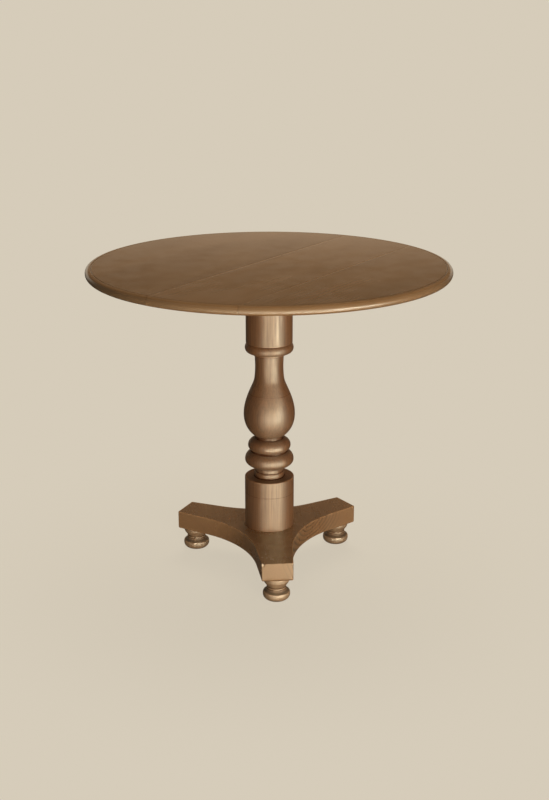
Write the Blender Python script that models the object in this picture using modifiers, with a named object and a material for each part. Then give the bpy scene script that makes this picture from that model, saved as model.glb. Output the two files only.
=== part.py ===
"""Round pedestal table: a three-board top on a turned column, a three-armed platform and three turned feet.

Metres, +Z up. The origin is on the floor under the column's axis, and the front arm points along -Y.
"""
import math

import bmesh
import bpy
from mathutils import Vector
from mathutils.geometry import interpolate_bezier

# Fit between pieces that touch
FIT_GAP = 0.0003

# Height of the whole table
TABLE_HEIGHT = 0.720

# Top: joint offsets run across the grain from the centre, towards the back where positive
TOP_RADIUS = 0.405
TOP_THICKNESS = 0.020
TOP_GRAIN_ANGLE = math.radians(52.5)
BACK_JOINT_OFFSET = 0.029
FRONT_JOINT_OFFSET = -0.167
QUIRK_INSET = 0.0130
QUIRK_WIDTH = 0.0022
QUIRK_DEPTH = 0.0011

# Dowels across the board joints
DOWEL_RADIUS = 0.004
DOWEL_LENGTH = 0.060
DOWEL_RIM_INSET = 0.185
DOWEL_END_ROOM = 0.0010
DOWELS_PER_JOINT = 3

# Block and battens under the top
BLOCK_SIDE = 0.200
BLOCK_THICKNESS = 0.032
BLOCK_CHAMFER = 0.002
BLOCK_SCREW_INSET = 0.030
BATTEN_LENGTH = 0.460
BATTEN_WIDTH = 0.055
BATTEN_THICKNESS = 0.024
BATTEN_TO_BLOCK = 0.012
BATTEN_SCREW_INSET = 0.025
BATTEN_JOINT_SETBACK = 0.061
BATTEN_CHAMFER = 0.004

# Wood screws
SCREW_SHANK_RADIUS = 0.0024
SCREW_HEAD_RADIUS = 0.0048
SCREW_HEAD_HEIGHT = 0.0032
SCREW_HEAD_RIM = 0.0004
SCREW_POINT_LENGTH = 0.005
SCREW_POINT_RADIUS = 0.0006
SCREW_BITE = 0.011
SCREW_SINK = 0.0006
SCREW_SLOT_WIDTH = 0.0011
SCREW_SLOT_DEPTH = 0.0013

# Platform
PLATFORM_TOP = 0.098
PLATFORM_THICKNESS = 0.043
ARM_REACH = 0.228
ARM_END_WIDTH = 0.070
ARM_FLANK_ANGLE = math.radians(25.5)
SIDE_RADIUS = 0.250
PLATFORM_EDGE = 0.0014
PLATFORM_SHARP_ANGLE = math.radians(40)

# Feet
FOOT_INSET = 0.0305
FOOT_TENON_RADIUS = 0.012
FOOT_TENON_LENGTH = 0.025
FOOT_COLLAR_RADIUS = 0.0292
FOOT_COLLAR_BAND = 0.007
FOOT_NECK_RADIUS = 0.0205
FOOT_NECK_DROP = 0.0235
FOOT_FILLET_RADIUS = 0.0220
FOOT_FILLET_HEIGHT = 0.0022
FOOT_RIM_RADIUS = 0.0292
FOOT_RIM_HEIGHT = 0.0200
FOOT_BUN_RADIUS = 0.0306
FOOT_BUN_MIDDLE = 0.0130
FOOT_PAD_RADIUS = 0.0170

# Column, from the platform up
TENON_RADIUS = 0.025
TENON_SHY = 0.0005
LOWER_DRUM_RADIUS = 0.0571
LOWER_DRUM_HEIGHT = 0.1205
LOWER_SCRIBE_DROP = 0.0378
DRUM_EDGE = 0.0012
SCRIBE_WIDTH = 0.0014
SCRIBE_DEPTH = 0.0006
ASTRAGAL_RADIUS = 0.0350
ASTRAGAL_HEIGHT = 0.0125
COLLAR_RADIUS = 0.0325
COLLAR_HEIGHT = 0.0110
LOWER_RING_RADIUS = 0.0564
LOWER_RING_HEIGHT = 0.0385
LOWER_RING_MIDDLE = 0.0185
GROOVE_RADIUS = 0.0405
GROOVE_HEIGHT = 0.0030
UPPER_RING_RADIUS = 0.0493
UPPER_RING_HEIGHT = 0.0290
UPPER_RING_MIDDLE = 0.0110
VASE_FILLET_RADIUS = 0.0310
VASE_FILLET_HEIGHT = 0.0080
VASE_FOOT_RADIUS = 0.0360
VASE_RADIUS = 0.0590
VASE_BELLY_HEIGHT = 0.0505
VASE_SHOULDER_RADIUS = 0.0345
VASE_HEIGHT = 0.1330
VASE_SCRIBE_DROP = 0.0325
NECK_RADIUS = 0.0322
NECK_TOP_RADIUS = 0.0334
NECK_WAIST_HEIGHT = 0.0315
NECK_HEIGHT = 0.0585
BEAD_FILLET_RADIUS = 0.0380
BEAD_FILLET_HEIGHT = 0.0055
BEAD_RADIUS = 0.0554
BEAD_DEPTH = 0.0094
BEAD_HEIGHT = 0.0230
UPPER_DRUM_RADIUS = 0.0530

# Wedges in the column's tenons
WEDGE_HEAD = 0.0040
WEDGE_TIP = 0.0016
WEDGE_DEPTH = 0.024
WEDGE_SETBACK = 0.002

# Handles of the turned curves, as shares of each curve's own width and drop
RING_TOP_PULLS = ((0.47, 0.12), (0.0, 0.65))
RING_BOTTOM_PULLS = ((0.0, 0.58), (0.44, 0.12))
VASE_TOP_PULLS = ((0.11, 0.17), (0.0, 0.44))
VASE_BOTTOM_PULLS = ((0.0, 0.50), (0.50, 0.18))
NECK_TOP_PULLS = ((0.6, 0.35), (0.0, 0.35))
NECK_BOTTOM_PULLS = ((0.0, 0.40), (0.52, 0.20))
FOOT_COLLAR_PULLS = ((0.0, 0.35), (0.25, 0.35))
FOOT_COVE_PULLS = ((0.05, 0.45), (0.45, 0.10))
FOOT_BUN_TOP_PULLS = ((0.8, 0.20), (0.0, 0.50))
FOOT_BUN_BOTTOM_PULLS = ((0.0, 0.62), (0.45, 0.0))

# Facets
TOP_STEPS = 96
COLUMN_STEPS = 36
FOOT_STEPS = 24
SCREW_STEPS = 12
DOWEL_SIDES = 16
CURVE_STEPS = 5
FOOT_CURVE_STEPS = 4
EDGE_STEPS = 6
SIDE_STEPS = 12
PLATFORM_EDGE_STEPS = 2
SMOOTH_ANGLE = math.radians(32.0)
WELD_DISTANCE = 0.00001

# How many times longer than the piece a cutter is that passes right through it
CUTTER_LENGTHS = 4

# Heights and places that follow from the sizes above
TOP_UNDERSIDE = TABLE_HEIGHT - TOP_THICKNESS
CLEAT_TOP = TOP_UNDERSIDE - FIT_GAP
BLOCK_UNDERSIDE = CLEAT_TOP - BLOCK_THICKNESS
BATTEN_OFFSET = BLOCK_SIDE / 2 + BATTEN_TO_BLOCK + BATTEN_WIDTH / 2
PLATFORM_UNDERSIDE = PLATFORM_TOP - PLATFORM_THICKNESS
FOOT_TOP = PLATFORM_UNDERSIDE - FIT_GAP
FOOT_DISTANCE = ARM_REACH - FOOT_INSET
ARM_ANGLES = {"front": math.radians(-90), "right": math.radians(30), "left": math.radians(150)}
HALF_SPREAD = math.pi / len(ARM_ANGLES)

# Colour, roughness and metallic value of each finish
FINISHES = {
    "top_wood": ((0.171, 0.102, 0.050), 0.42, 0.0),
    "turned_wood": ((0.262, 0.150, 0.076), 0.38, 0.0),
    "platform_wood": ((0.216, 0.124, 0.064), 0.42, 0.0),
    "under_wood": ((0.300, 0.200, 0.110), 0.70, 0.0),
    "peg_wood": ((0.420, 0.300, 0.180), 0.65, 0.0),
    "screw_steel": ((0.330, 0.310, 0.290), 0.45, 1.0),
}


def clear_scene():
    for obj in list(bpy.data.objects):
        bpy.data.objects.remove(obj, do_unlink=True)


def new_collection(name):
    collection = bpy.data.collections.new(name)
    bpy.context.scene.collection.children.link(collection)
    return collection


def new_material(name):
    colour, roughness, metallic = FINISHES[name]
    material = bpy.data.materials.new(name)
    material.use_nodes = True
    shader = material.node_tree.nodes["Principled BSDF"]
    shader.inputs["Base Color"].default_value = (*colour, 1.0)
    shader.inputs["Roughness"].default_value = roughness
    shader.inputs["Metallic"].default_value = metallic
    return material


class Workshop:
    """Collections and finishes that every piece goes into."""

    def __init__(self):
        self.parts = new_collection("round_pedestal_table")
        self.cutters = new_collection("cutters")
        self.finishes = {name: new_material(name) for name in FINISHES}

    def part(self, name, mesh, finish, parent=None, location=(0, 0, 0), turn=0.0):
        obj = bpy.data.objects.new(name, mesh)
        self.parts.objects.link(obj)
        if not mesh.materials:
            mesh.materials.append(self.finishes[finish])
        place(obj, parent, location, turn)
        return obj

    def cutter(self, name, mesh, parent=None, location=(0, 0, 0), turn=0.0):
        obj = bpy.data.objects.new(name, mesh)
        self.cutters.objects.link(obj)
        obj.hide_render = True
        obj.display_type = 'WIRE'
        place(obj, parent, location, turn)
        return obj


def place(obj, parent, location, turn):
    obj.parent = parent
    obj.location = location
    obj.rotation_euler = (0, 0, turn)


def boolean(obj, cutter, operation='DIFFERENCE'):
    modifier = obj.modifiers.new(cutter.name, 'BOOLEAN')
    modifier.operation = operation
    modifier.solver = 'EXACT'
    modifier.object = cutter


def baked_mesh(obj):
    """The object's evaluated shape as a plain mesh, shaded smooth on its round stretches."""
    bpy.context.view_layer.update()
    evaluated = obj.evaluated_get(bpy.context.evaluated_depsgraph_get())
    mesh = bpy.data.meshes.new_from_object(evaluated)
    mesh.shade_smooth()
    mesh.set_sharp_from_angle(angle=SMOOTH_ANGLE)
    return mesh


def turned_mesh(profile, steps):
    """A solid of revolution from (radius, height) points that run down the outer side."""
    outline = bpy.data.meshes.new("profile")
    edges = [(i, i + 1) for i in range(len(profile) - 1)]
    outline.from_pydata([(radius, 0, height) for radius, height in profile], edges, [])
    obj = bpy.data.objects.new("profile", outline)
    bpy.context.scene.collection.objects.link(obj)
    screw = obj.modifiers.new("Turn", 'SCREW')
    screw.steps = steps
    screw.render_steps = steps
    screw.use_merge_vertices = True
    screw.merge_threshold = WELD_DISTANCE
    mesh = baked_mesh(obj)
    bpy.data.objects.remove(obj, do_unlink=True)
    bpy.data.meshes.remove(outline)
    return mesh


def box_mesh(name, size, chamfer=0.0):
    mesh = bpy.data.meshes.new(name)
    shape = bmesh.new()
    bmesh.ops.create_cube(shape, size=1.0)
    bmesh.ops.scale(shape, vec=Vector(size), verts=shape.verts)
    if chamfer:
        bmesh.ops.bevel(shape, geom=shape.edges[:], offset=chamfer, segments=1, affect='EDGES')
    shape.to_mesh(mesh)
    shape.free()
    return mesh


def wedge_mesh(name, width, head, tip, depth):
    """A wedge whose head lies at height 0 and whose tip lies at the given depth above it."""
    mesh = bpy.data.meshes.new(name)
    shape = bmesh.new()
    bmesh.ops.create_cube(shape, size=1.0)
    for vert in shape.verts:
        thickness = tip if vert.co.z > 0 else head
        height = depth if vert.co.z > 0 else 0.0
        vert.co = (vert.co.x * width, vert.co.y * thickness, height)
    shape.to_mesh(mesh)
    shape.free()
    return mesh


def curve(start, end, pulls, steps=CURVE_STEPS):
    """Points of a smooth curve between two profile points, without the first one."""
    start_pull, end_pull = (Vector(pull) for pull in pulls)
    first, last = Vector(start), Vector(end)
    span = last - first
    points = interpolate_bezier(first, first + start_pull * span, last - end_pull * span, last, steps + 1)
    return [tuple(point) for point in points[1:]]


def half_round(radius, depth, top, bottom, steps):
    """Points down a half-round moulding that stands out by the given depth."""
    middle = (top + bottom) / 2
    points = []
    for i in range(steps + 1):
        angle = math.pi * (0.5 - i / steps)
        points.append((radius - depth + depth * math.cos(angle), middle + (top - middle) * math.sin(angle)))
    return points


def radius_at(points, height):
    for (radius_a, height_a), (radius_b, height_b) in zip(points, points[1:]):
        if height_a >= height >= height_b and height_a > height_b:
            share = (height_a - height) / (height_a - height_b)
            return radius_a + share * (radius_b - radius_a)
    raise ValueError("the scribed line lies off its surface")


def scribed(points, height):
    """The same outline with a fine V-shaped line cut at a height."""
    top, bottom = height + SCRIBE_WIDTH / 2, height - SCRIBE_WIDTH / 2
    line = [(radius_at(points, top), top),
            (radius_at(points, height) - SCRIBE_DEPTH, height),
            (radius_at(points, bottom), bottom)]
    above = [point for point in points if point[1] > top]
    below = [point for point in points if point[1] < bottom]
    return above + line + below


def top_profile():
    """Section of the whole round top: flat, scratched line, half-round edge."""
    edge_depth = TOP_THICKNESS / 2
    inner = TOP_RADIUS - QUIRK_INSET - QUIRK_WIDTH / 2
    outer = TOP_RADIUS - QUIRK_INSET + QUIRK_WIDTH / 2
    quirk = [(inner, TABLE_HEIGHT),
             (TOP_RADIUS - QUIRK_INSET, TABLE_HEIGHT - QUIRK_DEPTH),
             (outer, TABLE_HEIGHT)]
    edge = half_round(TOP_RADIUS, edge_depth, TABLE_HEIGHT, TOP_UNDERSIDE, EDGE_STEPS)
    return [(0, TABLE_HEIGHT)] + quirk + edge + [(0, TOP_UNDERSIDE)]


def board_spans():
    """Each board's back and front limits across the grain, clear of its neighbours."""
    past_rim = TOP_RADIUS + TOP_THICKNESS
    half_gap = FIT_GAP / 2
    return {
        "top_board_back": (past_rim, BACK_JOINT_OFFSET + half_gap),
        "top_board_middle": (BACK_JOINT_OFFSET - half_gap, FRONT_JOINT_OFFSET + half_gap),
        "top_board_front": (FRONT_JOINT_OFFSET - half_gap, -past_rim),
    }


def make_boards(shop, grain):
    boards = {}
    for name, (back, front) in board_spans().items():
        board = shop.part(name, turned_mesh(top_profile(), TOP_STEPS), "top_wood", grain)
        size = (CUTTER_LENGTHS * TOP_RADIUS, back - front, CUTTER_LENGTHS * TOP_THICKNESS)
        slab = box_mesh(name + "_slab", size)
        middle = (0, (back + front) / 2, TABLE_HEIGHT - TOP_THICKNESS / 2)
        boolean(board, shop.cutter(name + "_slab", slab, grain, middle), 'INTERSECT')
        boards[name] = board
    return boards


def dowel_mesh(grow, end_room):
    """A dowel that lies across the grain, or its hole where it is grown."""
    mesh = bpy.data.meshes.new("dowel")
    shape = bmesh.new()
    bmesh.ops.create_cone(shape, cap_ends=True, segments=DOWEL_SIDES, radius1=DOWEL_RADIUS + grow,
                          radius2=DOWEL_RADIUS + grow, depth=DOWEL_LENGTH + 2 * end_room)
    for vert in shape.verts:
        vert.co = (vert.co.x, vert.co.z, -vert.co.y)
    shape.to_mesh(mesh)
    shape.free()
    mesh.shade_smooth()
    mesh.set_sharp_from_angle(angle=SMOOTH_ANGLE)
    return mesh


def make_dowels(shop, grain, boards):
    """Dowels across each joint, each in a hole shared by its two boards."""
    joints = {
        "dowel_back": (BACK_JOINT_OFFSET, ("top_board_back", "top_board_middle")),
        "dowel_front": (FRONT_JOINT_OFFSET, ("top_board_middle", "top_board_front")),
    }
    height = TABLE_HEIGHT - TOP_THICKNESS / 2
    reach = TOP_RADIUS - DOWEL_RIM_INSET
    for name, (offset, sides) in joints.items():
        for i in range(DOWELS_PER_JOINT):
            spot = (reach * (2 * i / (DOWELS_PER_JOINT - 1) - 1), offset, height)
            label = f"{name}_{i + 1}"
            shop.part(label, dowel_mesh(0.0, 0.0), "peg_wood", grain, spot)
            hole = shop.cutter(label + "_hole", dowel_mesh(FIT_GAP, DOWEL_END_ROOM), grain, spot)
            for side in sides:
                boolean(boards[side], hole)


def make_block(shop, grain):
    mesh = box_mesh("top_block", (BLOCK_SIDE, BLOCK_SIDE, BLOCK_THICKNESS), BLOCK_CHAMFER)
    middle = (0, 0, CLEAT_TOP - BLOCK_THICKNESS / 2)
    block = shop.part("top_block", mesh, "under_wood", grain, middle)
    mortise = turned_mesh(pin_profile(TENON_RADIUS + FIT_GAP, 2 * BLOCK_THICKNESS), COLUMN_STEPS)
    boolean(block, shop.cutter("upper_mortise", mortise, grain, middle))
    return block


def make_batten(shop, grain, name, offset):
    mesh = box_mesh(name, (BATTEN_WIDTH, BATTEN_LENGTH, BATTEN_THICKNESS), BATTEN_CHAMFER)
    return shop.part(name, mesh, "under_wood", grain, (offset, 0, CLEAT_TOP - BATTEN_THICKNESS / 2))


def pin_profile(radius, length):
    """A plain round pin centred on its middle."""
    return [(0, length / 2), (radius, length / 2), (radius, -length / 2), (0, -length / 2)]


def screw_profile(length, grow):
    """A countersunk screw that points up from its head's face at height 0, or its hole where it is grown."""
    mouth = -(SCREW_SINK + SCREW_HEAD_HEIGHT) if grow else 0.0
    return [(0, length + grow),
            (SCREW_POINT_RADIUS + grow, length + grow),
            (SCREW_SHANK_RADIUS + grow, length - SCREW_POINT_LENGTH),
            (SCREW_SHANK_RADIUS + grow, SCREW_HEAD_HEIGHT),
            (SCREW_HEAD_RADIUS + grow, SCREW_HEAD_RIM),
            (SCREW_HEAD_RADIUS + grow, mouth),
            (0, mouth)]


def screw_mesh(shop, length):
    blank = bpy.data.objects.new("screw_blank", turned_mesh(screw_profile(length, 0.0), SCREW_STEPS))
    bpy.context.scene.collection.objects.link(blank)
    blank.data.materials.append(shop.finishes["screw_steel"])
    size = (CUTTER_LENGTHS * SCREW_HEAD_RADIUS, SCREW_SLOT_WIDTH, 2 * SCREW_SLOT_DEPTH)
    slot = box_mesh("screw_slot", size)
    boolean(blank, shop.cutter("screw_slot", slot))
    mesh = baked_mesh(blank)
    bpy.data.objects.remove(blank, do_unlink=True)
    return mesh


def make_screws(shop, grain, name, held, thickness, spots, boards):
    """Screws up through a held piece into the boards over it."""
    length = thickness - SCREW_SINK + FIT_GAP + SCREW_BITE
    mesh = screw_mesh(shop, length)
    for i, (along, across) in enumerate(spots, 1):
        spot = (along, across, CLEAT_TOP - thickness + SCREW_SINK)
        label = f"{name}_{i}"
        shop.part(label, mesh, "screw_steel", grain, spot)
        hole_mesh = turned_mesh(screw_profile(length, FIT_GAP), SCREW_STEPS)
        hole = shop.cutter(label + "_hole", hole_mesh, grain, spot)
        boolean(held, hole)
        for board_name, (back, front) in board_spans().items():
            if front < across < back:
                boolean(boards[board_name], hole)


def batten_screw_rows():
    """Screw places along a batten: near each end, beside the back joint and in the middle board."""
    end = BATTEN_LENGTH / 2 - BATTEN_SCREW_INSET
    middle_board = (BACK_JOINT_OFFSET + FRONT_JOINT_OFFSET) / 2
    return (end, BACK_JOINT_OFFSET + BATTEN_JOINT_SETBACK, middle_board, -end)


def make_top(shop):
    grain = bpy.data.objects.new("grain_line", None)
    shop.parts.objects.link(grain)
    grain.rotation_euler = (0, 0, TOP_GRAIN_ANGLE)
    boards = make_boards(shop, grain)
    make_dowels(shop, grain, boards)
    block = make_block(shop, grain)
    reach = BLOCK_SIDE / 2 - BLOCK_SCREW_INSET
    corners = [(along * reach, across * reach) for along in (-1, 1) for across in (-1, 1)]
    make_screws(shop, grain, "block_screw", block, BLOCK_THICKNESS, corners, boards)
    for name, offset in (("batten_left", -BATTEN_OFFSET), ("batten_right", BATTEN_OFFSET)):
        batten = make_batten(shop, grain, name, offset)
        spots = [(offset, row) for row in batten_screw_rows()]
        make_screws(shop, grain, name + "_screw", batten, BATTEN_THICKNESS, spots, boards)
    head = CLEAT_TOP - TENON_SHY
    mesh = wedge_mesh("upper_wedge", wedge_width(), WEDGE_HEAD, WEDGE_TIP, WEDGE_DEPTH)
    wedge = shop.part("upper_wedge", mesh, "peg_wood", grain, (0, 0, head), math.pi / 2)
    wedge.rotation_euler.x = math.pi
    return grain


def wedge_width():
    return 2 * (TENON_RADIUS - WEDGE_SETBACK)


def lower_column(base):
    """Lower drum, astragal and collar, from the top down, and the collar's top height."""
    drum_top = base + LOWER_DRUM_HEIGHT
    astragal_top = drum_top + ASTRAGAL_HEIGHT
    collar_top = astragal_top + COLLAR_HEIGHT
    drum = [(LOWER_DRUM_RADIUS - DRUM_EDGE, drum_top),
            (LOWER_DRUM_RADIUS, drum_top - DRUM_EDGE),
            (LOWER_DRUM_RADIUS, base)]
    points = [(COLLAR_RADIUS, collar_top)]
    depth = ASTRAGAL_RADIUS - COLLAR_RADIUS
    points += half_round(ASTRAGAL_RADIUS, depth, astragal_top, drum_top, CURVE_STEPS)
    points += scribed(drum, drum_top - LOWER_SCRIBE_DROP)
    return points, collar_top


def ring(bottom, height, middle, radius, top_radius, bottom_radius):
    """One cushion-shaped ring, from the top down."""
    belly = (radius, bottom + middle)
    points = [(top_radius, bottom + height)]
    points += curve(points[0], belly, RING_TOP_PULLS)
    points += curve(belly, (bottom_radius, bottom), RING_BOTTOM_PULLS)
    return points


def ring_stack(bottom):
    """The two rings with the groove between them, from the top down, and their top height."""
    groove_bottom = bottom + LOWER_RING_HEIGHT
    groove_top = groove_bottom + GROOVE_HEIGHT
    upper = ring(groove_top, UPPER_RING_HEIGHT, UPPER_RING_MIDDLE, UPPER_RING_RADIUS,
                 VASE_FILLET_RADIUS, GROOVE_RADIUS)
    lower = ring(bottom, LOWER_RING_HEIGHT, LOWER_RING_MIDDLE, LOWER_RING_RADIUS,
                 GROOVE_RADIUS, COLLAR_RADIUS)
    return upper + lower[:-1], groove_top + UPPER_RING_HEIGHT


def vase_and_neck(bottom):
    """Neck, vase and the fillet under it, from the top down, and the neck's top height."""
    vase_foot = bottom + VASE_FILLET_HEIGHT
    shoulder = (VASE_SHOULDER_RADIUS, vase_foot + VASE_HEIGHT)
    belly = (VASE_RADIUS, vase_foot + VASE_BELLY_HEIGHT)
    waist = (NECK_RADIUS, shoulder[1] + NECK_WAIST_HEIGHT)
    neck_top = (NECK_TOP_RADIUS, shoulder[1] + NECK_HEIGHT)
    points = [neck_top]
    points += curve(neck_top, waist, NECK_TOP_PULLS)
    points += curve(waist, shoulder, NECK_BOTTOM_PULLS)
    points += curve(shoulder, belly, VASE_TOP_PULLS)
    points = scribed(points, shoulder[1] - VASE_SCRIBE_DROP)
    points += curve(belly, (VASE_FOOT_RADIUS, vase_foot), VASE_BOTTOM_PULLS)
    points.append((VASE_FILLET_RADIUS, vase_foot))
    return points, neck_top[1]


def upper_column(bottom, top):
    """Upper drum, bead and the fillet under it, from the top down."""
    bead_bottom = bottom + BEAD_FILLET_HEIGHT
    bead_top = bead_bottom + BEAD_HEIGHT
    points = [(UPPER_DRUM_RADIUS, top), (UPPER_DRUM_RADIUS, bead_top)]
    points += half_round(BEAD_RADIUS, BEAD_DEPTH, bead_top, bead_bottom, EDGE_STEPS)
    points += [(BEAD_FILLET_RADIUS, bead_bottom), (BEAD_FILLET_RADIUS, bottom)]
    return points


def column_profile():
    """The whole turned column with its two tenons, from the top down."""
    base = PLATFORM_TOP + FIT_GAP
    drum_top = BLOCK_UNDERSIDE - FIT_GAP
    tenon_top = CLEAT_TOP - TENON_SHY
    tenon_bottom = PLATFORM_UNDERSIDE + TENON_SHY
    lower, rings_bottom = lower_column(base)
    rings, vase_bottom = ring_stack(rings_bottom)
    vase, neck_top = vase_and_neck(vase_bottom)
    upper = upper_column(neck_top, drum_top)
    points = [(0, tenon_top), (TENON_RADIUS, tenon_top), (TENON_RADIUS, drum_top)]
    points += upper + vase + rings + lower
    return points + [(TENON_RADIUS, base), (TENON_RADIUS, tenon_bottom), (0, tenon_bottom)]


def make_column(shop, grain):
    column = shop.part("column", turned_mesh(column_profile(), COLUMN_STEPS), "turned_wood")
    kerf_length = CUTTER_LENGTHS * TENON_RADIUS
    kerf = (kerf_length, WEDGE_HEAD + 2 * FIT_GAP, WEDGE_TIP + 2 * FIT_GAP, WEDGE_DEPTH + FIT_GAP)
    lower_head = PLATFORM_UNDERSIDE + TENON_SHY
    upper_head = CLEAT_TOP - TENON_SHY
    lower = shop.cutter("lower_kerf", wedge_mesh("lower_kerf", *kerf), None, (0, 0, lower_head))
    upper = shop.cutter("upper_kerf", wedge_mesh("upper_kerf", *kerf), grain, (0, 0, upper_head), math.pi / 2)
    upper.rotation_euler.x = math.pi
    boolean(column, lower)
    boolean(column, upper)
    mesh = wedge_mesh("lower_wedge", wedge_width(), WEDGE_HEAD, WEDGE_TIP, WEDGE_DEPTH)
    shop.part("lower_wedge", mesh, "peg_wood", None, (0, 0, lower_head))


def concave_side(middle_angle):
    """One hollow side of the platform: an arc that runs straight into the two arms' ends, anticlockwise."""
    end_across = ARM_REACH * math.sin(HALF_SPREAD) - ARM_END_WIDTH / 2 * math.cos(HALF_SPREAD)
    end_out = ARM_REACH * math.cos(HALF_SPREAD) + ARM_END_WIDTH / 2 * math.sin(HALF_SPREAD)
    centre_out = end_out - end_across * math.tan(ARM_FLANK_ANGLE) + SIDE_RADIUS / math.cos(ARM_FLANK_ANGLE)
    local = [(-end_across, end_out)]
    for i in range(SIDE_STEPS + 1):
        angle = ARM_FLANK_ANGLE * (2 * i / SIDE_STEPS - 1)
        local.append((SIDE_RADIUS * math.sin(angle), centre_out - SIDE_RADIUS * math.cos(angle)))
    local.append((end_across, end_out))
    cosine, sine = math.cos(middle_angle), math.sin(middle_angle)
    return [(out * cosine - across * sine, out * sine + across * cosine) for across, out in local]


def platform_mesh():
    outline = bpy.data.curves.new("platform_outline", 'CURVE')
    outline.dimensions = '2D'
    outline.fill_mode = 'BOTH'
    outline.extrude = PLATFORM_THICKNESS / 2
    points = []
    for arm_angle in ARM_ANGLES.values():
        points += concave_side(arm_angle + HALF_SPREAD)
    spline = outline.splines.new('POLY')
    spline.points.add(len(points) - 1)
    for point, (x, y) in zip(spline.points, points):
        point.co = (x, y, 0, 1)
    spline.use_cyclic_u = True
    obj = bpy.data.objects.new("platform_outline", outline)
    bpy.context.scene.collection.objects.link(obj)
    mesh = baked_mesh(obj)
    bpy.data.objects.remove(obj, do_unlink=True)
    shape = bmesh.new()
    shape.from_mesh(mesh)
    bmesh.ops.remove_doubles(shape, verts=shape.verts, dist=WELD_DISTANCE)
    bmesh.ops.recalc_face_normals(shape, faces=shape.faces)
    shape.to_mesh(mesh)
    shape.free()
    return mesh


def foot_spot(angle, height):
    return (FOOT_DISTANCE * math.cos(angle), FOOT_DISTANCE * math.sin(angle), height)


def make_platform(shop):
    middle = PLATFORM_TOP - PLATFORM_THICKNESS / 2
    platform = shop.part("platform", platform_mesh(), "platform_wood", None, (0, 0, middle))
    bevel = platform.modifiers.new("Edges", 'BEVEL')
    bevel.width = PLATFORM_EDGE
    bevel.segments = PLATFORM_EDGE_STEPS
    bevel.angle_limit = PLATFORM_SHARP_ANGLE
    mortise = turned_mesh(pin_profile(TENON_RADIUS + FIT_GAP, 2 * PLATFORM_THICKNESS), COLUMN_STEPS)
    boolean(platform, shop.cutter("lower_mortise", mortise, None, (0, 0, middle)))
    for name, angle in ARM_ANGLES.items():
        pin = pin_profile(FOOT_TENON_RADIUS + FIT_GAP, 2 * (FOOT_TENON_LENGTH + FIT_GAP))
        spot = foot_spot(angle, PLATFORM_UNDERSIDE)
        boolean(platform, shop.cutter(f"foot_hole_{name}", turned_mesh(pin, FOOT_STEPS), None, spot))


def foot_profile():
    """One turned foot with its tenon, from the top down, standing at height 0."""
    band_bottom = FOOT_TOP - FOOT_COLLAR_BAND
    neck = (FOOT_NECK_RADIUS, FOOT_TOP - FOOT_NECK_DROP)
    fillet_bottom = neck[1] - FOOT_FILLET_HEIGHT
    rim = (FOOT_RIM_RADIUS, FOOT_RIM_HEIGHT)
    bun = (FOOT_BUN_RADIUS, FOOT_BUN_MIDDLE)
    tenon_top = PLATFORM_UNDERSIDE + FOOT_TENON_LENGTH
    points = [(0, tenon_top), (FOOT_TENON_RADIUS, tenon_top), (FOOT_TENON_RADIUS, FOOT_TOP),
              (FOOT_COLLAR_RADIUS, FOOT_TOP), (FOOT_COLLAR_RADIUS, band_bottom)]
    points += curve(points[-1], neck, FOOT_COLLAR_PULLS, FOOT_CURVE_STEPS)
    points += [(FOOT_FILLET_RADIUS, neck[1]),
               (FOOT_FILLET_RADIUS, fillet_bottom),
               (FOOT_NECK_RADIUS, fillet_bottom)]
    points += curve(points[-1], rim, FOOT_COVE_PULLS, FOOT_CURVE_STEPS)
    points += curve(rim, bun, FOOT_BUN_TOP_PULLS, FOOT_CURVE_STEPS)
    points += curve(bun, (FOOT_PAD_RADIUS, 0.0), FOOT_BUN_BOTTOM_PULLS, FOOT_CURVE_STEPS)
    return points + [(0, 0.0)]


def make_feet(shop):
    for name, angle in ARM_ANGLES.items():
        mesh = turned_mesh(foot_profile(), FOOT_STEPS)
        shop.part(f"foot_{name}", mesh, "turned_wood", None, foot_spot(angle, 0.0))


def main():
    clear_scene()
    shop = Workshop()
    grain = make_top(shop)
    make_column(shop, grain)
    make_platform(shop)
    make_feet(shop)
    bpy.context.view_layer.update()


main()
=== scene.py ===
"""Looks of a round pedestal table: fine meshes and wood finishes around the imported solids, and a studio.

The file is laid out as an add-on and is run as a script. Metres, +Z up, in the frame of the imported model.
"""
import math
from collections import namedtuple

import bmesh
import bpy
from bpy.props import FloatProperty, FloatVectorProperty, IntProperty, PointerProperty
from bpy.types import Operator, Panel, PropertyGroup
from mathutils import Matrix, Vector
from mathutils.geometry import interpolate_bezier


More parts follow.
